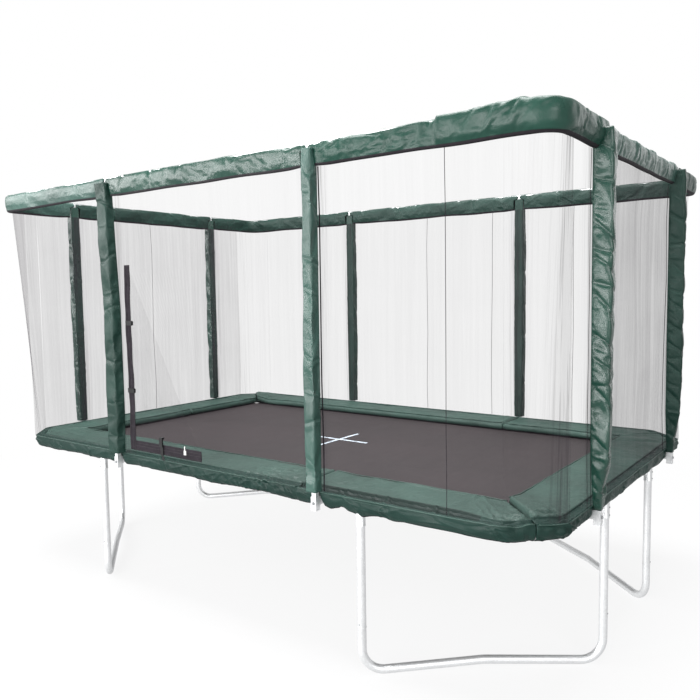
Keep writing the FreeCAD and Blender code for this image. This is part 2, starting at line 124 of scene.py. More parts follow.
def ramp_up(value, start, length):
    """0 up to the start, then a straight rise to 1 over the length."""
    return np.clip((value - start) / length, 0, 1)


def ramp_down(value, end, length):
    """0 past the end; before it, a straight fall from 1 over the length."""
    return np.clip((end - value) / length, 0, 1)


def crest(value, rounding, hollow, reach):
    """Section across a fold: a sharp crest with a rounded top, less a hollow that reaches further out."""
    return np.exp(-np.sqrt(value ** 2 + rounding)) - hollow * np.exp(-(value / reach) ** 2)


def grid_faces(rows, cols, wrap_cols=False):
    """Quads between neighbouring rows and columns of a grid of points."""
    r, c = np.meshgrid(np.arange(rows - 1), np.arange(cols if wrap_cols else cols - 1), indexing="ij")
    r2, c2 = r + 1, (c + 1) % cols
    return np.stack([r * cols + c, r2 * cols + c, r2 * cols + c2, r * cols + c2], -1).reshape(-1, 4)


def grid_uv(u, v):
    """One (u, v) pair for each corner of each quad; where columns wrap, v has one value more."""
    u1, v1 = np.meshgrid(u[:-1], v[:-1], indexing="ij")
    u2, v2 = np.meshgrid(u[1:], v[1:], indexing="ij")
    quads = [np.stack(pair, -1) for pair in ((u1, v1), (u2, v1), (u2, v2), (u1, v2))]
    return np.stack(quads, -2).reshape(-1, 2)


class Patch:
    """A grid of points with its UV and, if wanted, a value for each point and flat ends."""

    def __init__(self, points, u, v, wrap_cols=False, caps=False, tint=None):
        self.points = points.reshape(-1, 3)
        rows, cols = points.shape[:2]
        self.faces = grid_faces(rows, cols, wrap_cols)
        self.uv = grid_uv(u, v)
        self.tint = np.zeros(rows * cols) if tint is None else np.broadcast_to(tint, (rows, cols)).reshape(-1)
        self.caps = []
        if caps:
            self.caps = [list(range(cols)), list(range((rows - 1) * cols, rows * cols))[::-1]]


def piece(name, patches, material, body="frame", smooth=True, sharp=None):
    """One object made of patches; its faces point outwards and its place is in its mesh."""
    points = np.concatenate([p.points for p in patches])
    faces, uv, start = [], [], 0
    for p in patches:
        faces += (p.faces + start).tolist()
        uv.append(p.uv)
        for cap in p.caps:
            faces.append([i + start for i in cap])
            uv.append(np.zeros((len(cap), 2)))
        start += len(p.points)
    mesh = bpy.data.meshes.new(name)
    mesh.from_pydata(points.tolist(), [], faces)
    layer = mesh.uv_layers.new(name="UVMap")
    layer.data.foreach_set("uv", np.concatenate(uv).astype(np.float32).ravel())
    tint = mesh.attributes.new("tint", "FLOAT", "POINT")
    tint.data.foreach_set("value", np.concatenate([p.tint for p in patches]).astype(np.float32))
    face_outwards(mesh)
    if smooth:
        mesh.shade_smooth()
        if sharp:
            mesh.set_sharp_from_angle(angle=math.radians(sharp))
    obj = bpy.data.objects.new(name, mesh)
    scene.collection.objects.link(obj)
    mesh.materials.append(material)
    if body:
        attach(obj, body)
    return obj


def face_outwards(mesh):
    """Turn the faces of every closed shell outwards."""
    work = bmesh.new()
    work.from_mesh(mesh)
    bmesh.ops.recalc_face_normals(work, faces=work.faces)
    work.to_mesh(mesh)
    work.free()


def thicken(obj, thickness, offset=-1.0):
    """Give a skin its thickness."""
    solid = obj.modifiers.new("skin", "SOLIDIFY")
    solid.thickness = thickness
    solid.offset = offset
    solid.use_even_offset = False
    return obj


def smooth_run(values, width):
    """Moving average along the rows, which rounds the corners of a line of stations; the ends stay."""
    pad = np.concatenate([np.repeat(values[:1], width, 0) * 2 - values[width:0:-1], values,
                          np.repeat(values[-1:], width, 0) * 2 - values[-2:-width - 2:-1]])
    kernel = np.hanning(2 * width + 3)[1:-1]
    kernel /= kernel.sum()
    return np.stack([np.convolve(pad[:, i], kernel, "valid") for i in range(values.shape[1])], -1)


def folds(rng, s, t, count, length, width, height, lean, spread=0.5):
    """Folds in cloth, summed: each is a line in (s, t) with a sharp crest and a soft hollow beside it."""
    s, t = np.broadcast_arrays(s, t)
    total = np.zeros(s.shape)
    middle_s = rng.uniform(s.min(), s.max(), count)
    middle_t = rng.uniform(t.min(), t.max(), count)
    turns = lean + rng.normal(0, spread, count)
    lengths = length * rng.uniform(0.5, 1.5, count)
    widths = width * rng.uniform(0.6, 1.5, count)
    heights = height * rng.uniform(0.3, 1.0, count) * np.where(rng.random(count) < 0.8, 1, -0.6)
    for at_s, at_t, turn, long, wide, high in zip(middle_s, middle_t, turns, lengths, widths, heights):
        u = (s - at_s) * np.cos(turn) + (t - at_t) * np.sin(turn)
        v = (t - at_t) * np.cos(turn) - (s - at_s) * np.sin(turn)
        v = v + 0.12 * long * np.sin(u / long * 2.0)
        total += high * crest(v / wide, 0.05, 0.45, 2.6) * np.exp(-(u / long) ** 2)
    return total


def drift(rng, s, t, size, count=10):
    """Slow unevenness between -1 and 1: the mean of plane waves of about the given size."""
    s, t = np.broadcast_arrays(s, t)
    total = np.zeros(s.shape)
    for _ in range(count):
        turn = rng.uniform(0, np.pi)
        k = 2 * np.pi / (size * rng.uniform(0.6, 1.8))
        total += np.cos(k * (s * np.cos(turn) + t * np.sin(turn)) + rng.uniform(0, 2 * np.pi))
    return total / math.sqrt(count) / 1.5


def rounded_route(points, radii, step=0.012):
    """Stations on straight runs that are joined by tangent arcs of the given radii."""
    points = np.array(points, float)
    stations = [points[0]]
    for before, corner, after, radius in zip(points, points[1:], points[2:], radii):
        a, b = unit(corner - before), unit(after - corner)
        turn = math.acos(np.clip(a @ b, -1, 1))
        setback = radius * math.tan(turn / 2)
        inward = unit(b - a)
        centre = corner + inward * radius / math.cos(turn / 2)
        angle = np.linspace(-turn / 2, turn / 2, max(3, int(turn * radius / step) + 2))[:, None]
        across = unit(a + b)
        arc = centre - inward * radius * np.cos(angle) + across * radius * np.sin(angle)
        run = np.linalg.norm(corner - a * setback - stations[-1])
        fill = np.linspace(0, 1, max(2, int(run / (step * 4)) + 2))[1:-1, None]
        stations.extend(stations[-1] * (1 - fill) + arc[0] * fill)
        stations.extend(arc)
    run = np.linalg.norm(points[-1] - stations[-1])
    fill = np.linspace(0, 1, max(2, int(run / (step * 4)) + 2))[1:, None]
    stations.extend(stations[-1] * (1 - fill) + points[-1] * fill)
    return np.array(stations)


def lengths_along(stations):
    """Distance along a line of stations."""
    return np.concatenate([[0], np.cumsum(np.linalg.norm(np.diff(stations, axis=0), axis=1))])


def tube_patch(stations, radius, normal, sides=32):
    """Round section carried along a flat line of stations; normal is square to the line's plane."""
    tangent = unit(np.gradient(stations, axis=0))
    normal = np.broadcast_to(np.array(normal, float), stations.shape)
    up = unit(np.cross(normal, tangent))
    angle = np.linspace(0, 2 * np.pi, sides, endpoint=False)
    radius = np.broadcast_to(radius, len(stations))[:, None, None]
    ring = normal[:, None] * np.cos(angle)[None, :, None] + up[:, None] * np.sin(angle)[None, :, None]
    points = stations[:, None] + radius * ring
    around = np.linspace(0, 2 * np.pi, sides + 1) * 0.02
    return Patch(points, lengths_along(stations), around, wrap_cols=True, caps=True)


# Materials

class Nodes:
    """A material under construction: add() makes a node and links values or sockets to its inputs."""

    def __init__(self, name):
        self.material = bpy.data.materials.new(name)
        self.material.use_nodes = True
        self.tree = self.material.node_tree
        self.tree.nodes.clear()

    def add(self, kind, out=0, settings=None, **inputs):
        """A node; its inputs are named, or counted as i0, i1 and so on."""
        node = self.tree.nodes.new(kind)
        for key, value in (settings or {}).items():
            setattr(node, key, value)
        for key, value in inputs.items():
            counted = key[0] == "i" and key[1:].isdigit()
            socket = node.inputs[int(key[1:]) if counted else key.replace("_", " ")]
            if isinstance(value, bpy.types.NodeSocket):
                self.tree.links.new(value, socket)
            else:
                socket.default_value = value
        return node.outputs[out] if node.outputs else None

    def coords(self, scale=(1, 1, 1), source="Object"):
        """Object or UV coordinates, times a scale."""
        found = self.add("ShaderNodeTexCoord", out=source)
        return self.add("ShaderNodeMapping", i0=found, i3=scale)

    def split(self, vector):
        """The three parts of a vector."""
        node = self.tree.nodes.new("ShaderNodeSeparateXYZ")
        self.tree.links.new(vector, node.inputs[0])
        return node.outputs

    def noise(self, vector, scale, detail=3.0, roughness=0.5, distortion=0.0):
        """Cloudy noise about 0.5."""
        return self.add("ShaderNodeTexNoise", Vector=vector, Scale=scale, Detail=detail, Roughness=roughness,
                        Distortion=distortion)

    def ramp(self, value, *stops):
        """Colours at the given values, blended between them."""
        node = self.tree.nodes.new("ShaderNodeValToRGB")
        self.tree.links.new(value, node.inputs[0])
        elements = node.color_ramp.elements
        while len(elements) < len(stops):
            elements.new(0.5)
        for element, (place, colour) in zip(elements, stops):
            element.position = place
            element.color = colour if len(colour) == 4 else (*colour, 1)
        return node.outputs[0]

    def mask(self, value, low, high):
        """0 up to the low value, 1 from the high one."""
        return self.ramp(value, (low, (0, 0, 0)), (high, (1, 1, 1)))

    def greys(self, value, *stops):
        """A ramp of single numbers."""
        return self.ramp(value, *((place, (grey,) * 3) for place, grey in stops))

    def tint(self):
        """The value that each point of the piece holds."""
        return self.add("ShaderNodeAttribute", out="Fac", settings={"attribute_name": "tint"})

    def math(self, kind, a, b=0.0, clamp=False):
        """One step of arithmetic."""
        return self.add("ShaderNodeMath", settings={"operation": kind, "use_clamp": clamp}, i0=a, i1=b)

    def mix(self, factor, a, b):
        """Blend of two colours."""
        node = self.tree.nodes.new("ShaderNodeMix")
        node.data_type = "RGBA"
        for index, value in ((0, factor), (6, a), (7, b)):
            if isinstance(value, bpy.types.NodeSocket):
                self.tree.links.new(value, node.inputs[index])
            else:
                node.inputs[index].default_value = value if index == 0 or len(value) == 4 else (*value, 1)
        return node.outputs[2]

    def bump(self, height, distance, strength=1.0, normal=None):
        """Surface normal from a height, on top of another normal where one is given."""
        inputs = {"Height": height, "Distance": distance, "Strength": strength}
        if normal is not None:
            inputs["Normal"] = normal
        return self.add("ShaderNodeBump", **inputs)

    def surface(self, **inputs):
        """The finished material, with the given inputs of its shader."""
        shader = self.add("ShaderNodeBsdfPrincipled", **inputs)
        self.add("ShaderNodeOutputMaterial", Surface=shader)
        return self.material


def times(colour, factor, plus=0.0):
    """A colour made lighter or darker by a factor, plus a little grey."""
    return tuple(c * factor + plus for c in colour)


def crossed_waves(n, coords):
    """Height of a plain weave: the product of sine waves along the first two coordinates."""
    parts = n.split(coords)
    return n.math("MULTIPLY", n.math("SINE", parts[0]), n.math("SINE", parts[1]))


def weave_height(n, pitch):
    """Height of a plain weave of the given pitch, on the UV map in metres."""
    turns = 2 * math.pi / pitch
    return crossed_waves(n, n.coords((turns, turns, 1), "UV"))


def creases(n, where, scale, warp):
    """Crossing crease lines: ridged noise on coordinates that slow noise has pushed about."""
    push = n.add("ShaderNodeTexNoise", out="Color", Vector=where, Scale=scale * 0.35, Detail=2.0)
    moved = n.add("ShaderNodeVectorMath", settings={"operation": "MULTIPLY_ADD"}, i0=push, i1=(warp,) * 3,
                  i2=where)
    return n.add("ShaderNodeTexNoise", settings={"noise_type": "RIDGED_MULTIFRACTAL", "normalize": True},
                 Vector=moved, Scale=scale, Detail=2.5, Roughness=0.45, Offset=0.9, Gain=2.0)


def coated_fabric(name, colour, roughness, gloss):
    """Coated polyester: uneven dye, weave, creases, gloss; tint 0.3 marks a strip darkened with painted
    shade, 1 the hem tape.
    """
    crinkle = 0.12
    n = Nodes(name)
    where = n.coords()
    shade = n.ramp(n.noise(where, 2.3, 4), (0.3, times(colour, 0.75)), (0.7, times(colour, 1.25, 0.003)))
    dust = n.greys(n.noise(where, 28, 5, 0.7), (0.45, 0), (0.85, 0.5))
    shade = n.mix(n.math("MULTIPLY", dust, 0.15), shade, times(colour, 1.5, 0.03))
    rough = n.greys(n.noise(where, 11, 4), (0.3, roughness * 0.8), (0.7, roughness * 1.25))
    tint = n.tint()
    # Tint about 0.3 halves the colour: painted shade for the recessed strip along a pad's edge.
    strip = n.math("MULTIPLY", n.mask(tint, 0.15, 0.25), 0.9)
    edge = n.mask(tint, 0.45, 0.55)
    shade = n.mix(edge, n.mix(strip, shade, times(colour, 0.50)), HEM_BLACK)
    rough = n.mix(edge, rough, (0.8, 0.8, 0.8))
    fine = n.bump(weave_height(n, 0.0022), 0.0002, 0.4)
    small = n.bump(n.noise(where, 30, 4, 0.6, 0.6), 0.004, crinkle, fine)
    large = n.bump(creases(n, where, 5.0, 0.16), 0.024, crinkle, small)
    return n.surface(Base_Color=shade, Roughness=rough, Normal=large, IOR=1.5, Specular_IOR_Level=gloss)


def galvanised(name, colour, roughness):
    """Zinc-coated steel: metal with large pale spangles, faint drawing marks and duller patches."""
    n = Nodes(name)
    where = n.coords()
    spangle = n.add("ShaderNodeTexVoronoi", out="Color", Vector=where, Scale=130.0)
    grey = n.add("ShaderNodeRGBToBW", Color=spangle)
    patch = n.noise(where, 9, 5, 0.6)
    level = n.math("ADD", n.math("MULTIPLY", grey, 0.3), n.math("MULTIPLY", patch, 0.7))
    shade = n.ramp(level, (0.3, times(colour, 0.93)), (0.7, times(colour, 1.05)))
    rough = n.greys(level, (0.25, roughness * 0.85), (0.75, roughness * 1.15))
    bump = n.bump(n.noise(where, 160, 3), 0.0004, 0.15)
    return n.surface(Base_Color=shade, Metallic=0.65, Roughness=rough, Normal=bump)


def net_cloth(name, colour, cover):
    """Fine mesh net: see-through, with faint upright streaks, denser where tint says that it is gathered."""
    n = Nodes(name)
    pitch = 0.0045
    up, along, _ = n.split(n.coords(source="UV"))
    rows = n.math("SINE", n.math("MULTIPLY", up, 2 * math.pi / pitch))
    columns = n.math("SINE", n.math("MULTIPLY", along, 2 * math.pi / pitch))
    yarn = n.math("MULTIPLY", n.math("ADD", rows, columns), 0.30)
    cloud = n.noise(n.coords((1.5, 0.8, 1), "UV"), 1.6, 3)
    streak = n.noise(n.coords((0.8, 40, 1), "UV"), 1.0, 4, 0.7)
    even = n.math("ADD", n.math("MULTIPLY", cloud, 0.4), n.math("MULTIPLY", streak, 0.7))
    amount = n.math("MULTIPLY", n.math("ADD", n.math("ADD", even, yarn), 0.45), cover)
    drape = n.mask(n.noise(n.coords((0.25, 8, 1), "UV"), 1.0, 5, 0.75), 0.42, 0.72)
    amount = n.math("ADD", amount, n.math("MULTIPLY", drape, cover * 0.45))
    fine = n.mask(streak, 0.48, 0.66)
    gathered = n.math("MULTIPLY", n.tint(), n.math("ADD", n.math("MULTIPLY", fine, 1.5), 0.35))
    alpha = n.math("ADD", amount, gathered, clamp=True)
    shade = n.mix(cloud, colour, times(colour, 1.6, 0.01))
    return n.surface(Base_Color=shade, Roughness=0.9, Alpha=alpha, Specular_IOR_Level=0.05)


def woven_mat(name, colour):
    """Tightly woven mat: brown-black slit yarn with long streaks in both directions and a dull sheen."""
    n = Nodes(name)
    across = n.noise(n.coords((0.6, 45, 1)), 4.0, 3)
    along = n.noise(n.coords((45, 0.6, 1)), 4.0, 3)
    patch = n.noise(n.coords(), 1.4, 4)
    level = n.math("MULTIPLY", n.math("ADD", n.math("ADD", across, along), patch), 0.333)
    shade = n.ramp(level, (0.35, times(colour, 0.75)), (0.65, times(colour, 1.35)))
    rough = n.greys(patch, (0.3, 0.5), (0.7, 0.68))
    turns = 2 * math.pi / 0.0032
    bump = n.bump(crossed_waves(n, n.coords((turns, turns, 1))), 0.0004, 0.6)
    return n.surface(Base_Color=shade, Roughness=rough, Normal=bump, Specular_IOR_Level=0.3)


def webbing(name, colour, stitched=None):
    """Woven tape: fine ribs and a matt face; stitched holds the places across it of its rows of stitches."""
    n = Nodes(name)
    shade = n.ramp(n.noise(n.coords(), 30, 4), (0.3, times(colour, 0.7)), (0.7, times(colour, 1.5)))
    bump = n.bump(weave_height(n, 0.003), 0.0006, 0.8)
    if stitched:
        thread = stitch_rows(n, stitched)
        shade = n.mix(n.math("MULTIPLY", thread, 0.8), shade, (0.10, 0.095, 0.10))
        bump = n.bump(thread, 0.0008, 0.8, bump)
    return n.surface(Base_Color=shade, Roughness=0.8, Normal=bump, Specular_IOR_Level=0.25)


def stitch_rows(n, rows):
    """Mask of stitches along the UV map's first direction, in rows at the given places of its second one."""
    stitch = 0.009
    along, across, _ = n.split(n.coords(source="UV"))
    wander = n.noise(n.coords((14, 14, 14)), 1.0, 2)
    across = n.math("ADD", across, n.math("MULTIPLY", n.math("SUBTRACT", wander, 0.5), 0.004))
    dash = n.math("GREATER_THAN", n.math("SINE", n.math("MULTIPLY", along, 2 * math.pi / stitch)), -0.3)
    total = 0.0
    for row in rows:
        near = n.math("LESS_THAN", n.math("ABSOLUTE", n.math("SUBTRACT", across, row)), 0.0011)
        total = n.math("ADD", near, total)
    return n.math("MULTIPLY", total, dash)


def moulded(name, colour, roughness):
    """Moulded plastic: fine grain and a soft gloss."""
    n = Nodes(name)
    where = n.coords()
    shade = n.ramp(n.noise(where, 40, 3), (0.3, times(colour, 0.9)), (0.7, times(colour, 1.1)))
    bump = n.bump(n.noise(where, 700, 2), 0.0002, 0.4)
    return n.surface(Base_Color=shade, Roughness=roughness, Normal=bump)


SLEEVE_GREEN = (0.010, 0.053, 0.037)
# A darker copy of the sleeve green: painted shade for the sleeves that should look shaded.
SHADED_SLEEVE_GREEN = (0.009, 0.036, 0.027)
# A paler copy of the sleeve green: painted light and sheen for the sleeves that should look lit.
LIT_SLEEVE_GREEN = (0.040, 0.098, 0.080)
PAD_GREEN = (0.025, 0.063, 0.050)
SKIRT_GREEN = (0.009, 0.033, 0.026)
HEM_BLACK = (0.014, 0.011, 0.015)
sleeve_fabric = coated_fabric("sleeve_green", SLEEVE_GREEN, 0.26, 0.6)
# A darker, less glossy copy of the sleeve fabric: painted shade.
shaded_sleeve_fabric = coated_fabric("sleeve_green_painted_shade", SHADED_SLEEVE_GREEN, 0.45, 0.30)
# A paler copy of the sleeve fabric: painted light and sheen.
lit_sleeve_fabric = coated_fabric("sleeve_green_painted_light", LIT_SLEEVE_GREEN, 0.32, 0.48)
calm_sleeve_fabric = coated_fabric("sleeve_green_calm", SLEEVE_GREEN, 0.34, 0.36)
pad_fabric = coated_fabric("pad_green", PAD_GREEN, 0.55, 0.5)
skirt_fabric = coated_fabric("skirt_green", SKIRT_GREEN, 0.48, 0.22)
steel = galvanised("galvanised_steel", (0.90, 0.91, 0.92), 0.42)
dull_steel = galvanised("spring_zinc", (0.40, 0.41, 0.42), 0.45)
net_front_cloth = net_cloth("net_front", (0.03, 0.025, 0.03), 0.070)
net_back_cloth = net_cloth("net_back", (0.03, 0.027, 0.03), 0.070)
net_left_cloth = net_cloth("net_left", (0.035, 0.028, 0.035), 0.22)
net_right_cloth = net_cloth("net_right", (0.035, 0.028, 0.035), 0.39)
mat_cloth = woven_mat("mat_weave", (0.035, 0.028, 0.030))
tape = webbing("black_tape", (0.018, 0.014, 0.019))
band_tape = webbing("band_tape", (0.019, 0.015, 0.020), stitched=(0.006, 0.031, 0.049))
pale_tape = webbing("pale_tape", (0.62, 0.70, 0.78))
black_plastic = moulded("black_plastic", (0.012, 0.012, 0.013), 0.3)
white_plastic = moulded("white_plastic", (0.78, 0.78, 0.76), 0.4)


# Steel

def legs():
    """U-shaped leg bases: a round section on straight runs joined by arcs; rings and screws at the joints."""
    for name, (sx, sy) in CORNERS.items():
        foot = [np.array([sx * LEG_X, sy * HALF_WIDTH, 0]), np.array([sx * HALF_LENGTH, sy * LEG_Y, 0])]
        middle = (foot[0] + foot[1]) / 2 + UP * (LEG_R + LEG_RISE)
        half = np.linalg.norm(foot[1] - foot[0]) / 2
        slope = math.atan(LEG_RISE / (half - LEG_BEND))
        low = LEG_R + LEG_BEND - LEG_BEND * (1 / math.cos(slope) + math.tan(slope))
        points = [foot[0] + UP * LEG_JOINT_Z, foot[0] + UP * low, middle, foot[1] + UP * low,
                  foot[1] + UP * LEG_JOINT_Z]
        route = rounded_route(points, [LEG_BEND, 0.30, LEG_BEND], 0.008)
        across = unit(np.cross(foot[1] - foot[0], UP))
        tube = tube_patch(route, LEG_R, across, 40)
        base = piece("leg_" + name, [tube], steel, sharp=40)
        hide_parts("leg_base_" + name)
        for i, at in enumerate(foot):
            z = LEG_JOINT_Z + np.array([0.0005, 0.0012, 0.007, 0.0078])
            r = LEG_R + np.array([0.0003, 0.0012, 0.0012, 0.0003])
            band = tube_patch(at + z[:, None] * UP, r, across, 40)
            piece("leg_ring_%s_%d" % (name, i), [band], steel, sharp=40)
            out = np.array([0, sy, 0.0]) if i == 0 else np.array([sx, 0, 0.0])
            heads = []
            for height, reach in ((LEG_JOINT_Z + 0.022, LEG_R), (COLLAR_MOUTH_Z + 0.016, COLLAR_R),
                                  (COLLAR_MOUTH_Z + 0.058, COLLAR_R)):
                start = at + UP * height + out * (reach - 0.001)
                steps = np.array([0, 0.001, 0.0035, 0.0042])[:, None] * out
                heads.append(tube_patch(start + steps, np.array([0.0045, 0.0045, 0.0036, 0.002]), UP, 12))
            piece("screws_%s_%d" % (name, i), heads, dull_steel, sharp=40)


def frame_corners():
    """Corner tubes of the frame: two bends on one level, and a leg collar with a rolled mouth at each end."""
    for name, (sx, sy) in CORNERS.items():
        points = [(sx * (LEG_X - 0.050), sy * HALF_WIDTH, FRAME_Z),
                  (sx * (HALF_LENGTH - FRAME_CUT), sy * HALF_WIDTH, FRAME_Z),
                  (sx * HALF_LENGTH, sy * (HALF_WIDTH - FRAME_CUT), FRAME_Z),
                  (sx * HALF_LENGTH, sy * (LEG_Y - 0.050), FRAME_Z)]
        route = rounded_route(points, [0.1, 0.1], 0.01)
        parts = [tube_patch(route, FRAME_R, (0, 0, 1), 40)]
        for x, y in ((sx * LEG_X, sy * HALF_WIDTH), (sx * HALF_LENGTH, sy * LEG_Y)):
            z = np.append(COLLAR_MOUTH_Z + np.array([0, 0.0012, 0.006, 0.0075]), FRAME_Z)
            r = COLLAR_R + np.array([-0.0012, 0.0006, 0.0006, -0.0004, -0.0004])
            at = np.array([x, y, 0.0])
            parts.append(tube_patch(at + z[:, None] * UP, r, (1, 0, 0), 40))
        tube = piece("frame_bend_" + name, parts, steel, sharp=40)
        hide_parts("frame_corner_" + name)


def bolts_and_posts():
    """Bolt heads with washers on the square sockets; straight steel parts keep their solids."""
    bolts, screws = [], []
    for side in SIDES:
        out = outward_of(side)
        for along in (-SIDES[side][3], SIDES[side][3]):
            start = on_side(side, along, POST_OUT + 0.0174, 0.890)
            steps = np.array([0, 0.0012, 0.0012, 0.006, 0.007])[:, None] * out
            radius = np.array([0.0095, 0.0095, 0.0068, 0.0068, 0.0055])
            bolts.append(tube_patch(start + steps, radius, (0, 0, 1), 18))
            start = on_side(side, along, POST_OUT, RAIL_TOP - 0.0025)
            steps = np.array([0, 0.0015, 0.005, 0.006])[:, None] * UP
            screws.append(tube_patch(start + steps, np.array([0.008, 0.008, 0.006, 0.003]), (1, 0, 0), 14))
    piece("socket_bolts", bolts, dull_steel, sharp=35)
    piece("rail_screws", screws, dull_steel, sharp=35)
    for node in ("leg_uprights", "frame_tube_front", "frame_tube_right", "frame_tube_back", "frame_tube_left",
                 "post_sockets", "posts_front", "posts_right", "posts_back", "posts_left", "rail_tubes",
                 "rail_corners", "rail_clamps"):
        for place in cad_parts[node].material_slots:
            place.material = steel


# Sleeves

# Sleeves given the darker copy of the sleeve fabric carry painted shade; those given the paler copy carry
# painted light and sheen.
FABRICS = {
    "post_sleeve_front_0": shaded_sleeve_fabric,
    "post_sleeve_front_1": lit_sleeve_fabric,
    "post_sleeve_right_1": shaded_sleeve_fabric,
    "post_sleeve_back_0": shaded_sleeve_fabric,
    "post_sleeve_back_1": shaded_sleeve_fabric,
    "rail_sleeve_right": lit_sleeve_fabric,
    "rail_sleeve_back": shaded_sleeve_fabric,
    "rail_sleeve_left": shaded_sleeve_fabric,
    "rail_sleeve_corner_front_left": lit_sleeve_fabric,
    "rail_sleeve_corner_front_right": calm_sleeve_fabric,
    "rail_sleeve_corner_back_left": shaded_sleeve_fabric,
    "rail_sleeve_corner_back_right": shaded_sleeve_fabric,
}


def settle(obj, cap, frames, held=None, grow=0.0, pressure=0.0, stiff=15.0, bend=0.5):
    """Run the cloth with gravity off and give its points before and after; no point moves more than the cap.

    The cloth is held at the marked points; it grows by a share of its size, or is blown up, or both.
    """
    work = obj.copy()
    work.data = obj.data.copy()
    work.name = "cloth_work"
    scene.collection.objects.link(work)
    before = np.empty(len(work.data.vertices) * 3, np.float32)
    work.data.vertices.foreach_get("co", before)
    before = before.reshape(-1, 3)
    cloth = work.modifiers.new("cloth", "CLOTH")
    cloth.settings.quality = 3
    cloth.settings.mass = 0.3
    cloth.settings.tension_stiffness = stiff
    cloth.settings.compression_stiffness = stiff
    cloth.settings.shear_stiffness = stiff * 0.5
    cloth.settings.bending_stiffness = bend
    cloth.settings.shrink_min = -grow
    cloth.settings.use_pressure = pressure > 0
    cloth.settings.uniform_pressure_force = pressure
    cloth.settings.effector_weights.gravity = 0
    cloth.collision_settings.use_collision = False
    if held is not None:
        group = work.vertex_groups.new(name="held")
        group.add(np.flatnonzero(held).tolist(), 1.0, "REPLACE")
        cloth.settings.vertex_group_mass = "held"
    scene.frame_start, scene.frame_end = 1, frames
    for number in range(1, frames + 1):
        scene.frame_set(number)
    settled = work.evaluated_get(bpy.context.evaluated_depsgraph_get())
    after = np.empty(before.size, np.float32)
    settled.data.vertices.foreach_get("co", after)
    move = after.reshape(-1, 3) - before
    size = np.linalg.norm(move, axis=1, keepdims=True)
    bpy.data.objects.remove(work)
    scene.frame_set(1)
    return before, before + move * np.minimum(1, cap / np.maximum(size, 1e-9))


def put_points(obj, points):
    """Move a mesh's points."""
    obj.data.vertices.foreach_set("co", np.ascontiguousarray(points, np.float32).ravel())
    obj.data.update()


def crumple(rng, s, t, size, count=7):
    """Crushed cloth: a sum of |sin| waves in all directions, so that the hollows are sharp creases."""
    s, t = np.broadcast_arrays(s, t)
    total = np.zeros(s.shape)
    for _ in range(count):
        turn = rng.uniform(0, np.pi)
        k = np.pi / (size * rng.uniform(0.6, 1.6))
        bend = 0.6 * np.sin(k * 0.5 * (t * np.cos(turn) - s * np.sin(turn)) + rng.uniform(0, 6))
        wave = np.sin(k * (s * np.cos(turn) + t * np.sin(turn)) + bend + rng.uniform(0, np.pi))
        total += np.abs(wave) - 0.64
    return total / math.sqrt(count)


def pillows(rng, z, around, low, high, spacing, depth):
    """Slack in a sleeve: slanting hollows every so often up it, with the cloth swelling between them."""
    turn = 2 * np.pi * around / SLEEVE_GIRTH
    total = np.zeros(np.broadcast_shapes(z.shape, around.shape))
    at = low + spacing * 0.4
    while at < high:
        phase, tilt = rng.uniform(0, 2 * np.pi), rng.uniform(0.01, 0.05)
        v = (z - at + tilt * np.sin(turn + phase)) / rng.uniform(0.010, 0.018)
        strong = 0.45 + 0.55 * np.sin(turn + rng.uniform(0, 6)) ** 2
        total -= depth * rng.uniform(0.5, 1.2) * strong * crest(v, 0.04, 0.5, 5)
        at += spacing * rng.uniform(0.45, 1.5)
    return total


def buckles(rng, z, around, pitch, depth):
    """Buckled sleeve: zigzag creases round it, and facets between them that rise evenly from each crease."""
    zig = np.abs((around / (SLEEVE_GIRTH / 2) + rng.uniform()) % 1.0 - 0.5) * 2
    phase = (z + 0.30 * pitch * drift(rng, z, 0.0, 0.6, 5)) / pitch + 0.5 * zig
    crease = np.abs(phase % 1.0 - 0.5) * 2
    uneven = np.clip(0.7 + 0.6 * drift(rng, z, 0.0, 0.5, 6), 0.1, 1.3)
    return depth * uneven * (0.4 - crease ** 2.5)


def ring_of(corners, count, soft):
    """Evenly spaced points round a polygon whose corners are rounded by a moving average of `soft` points."""
    closed = np.array(corners + corners[:1], float)
    at = lengths_along(closed)
    even = np.linspace(0, at[-1], count, endpoint=False)
    points = np.stack([np.interp(even, at, closed[:, i]) for i in range(2)], -1)
    kernel = np.hanning(2 * soft + 3)[1:-1]
    kernel /= kernel.sum()
    wrapped = np.concatenate([points[-soft:], points, points[:soft]])
    return np.stack([np.convolve(wrapped[:, i], kernel, "valid") for i in range(2)], -1)


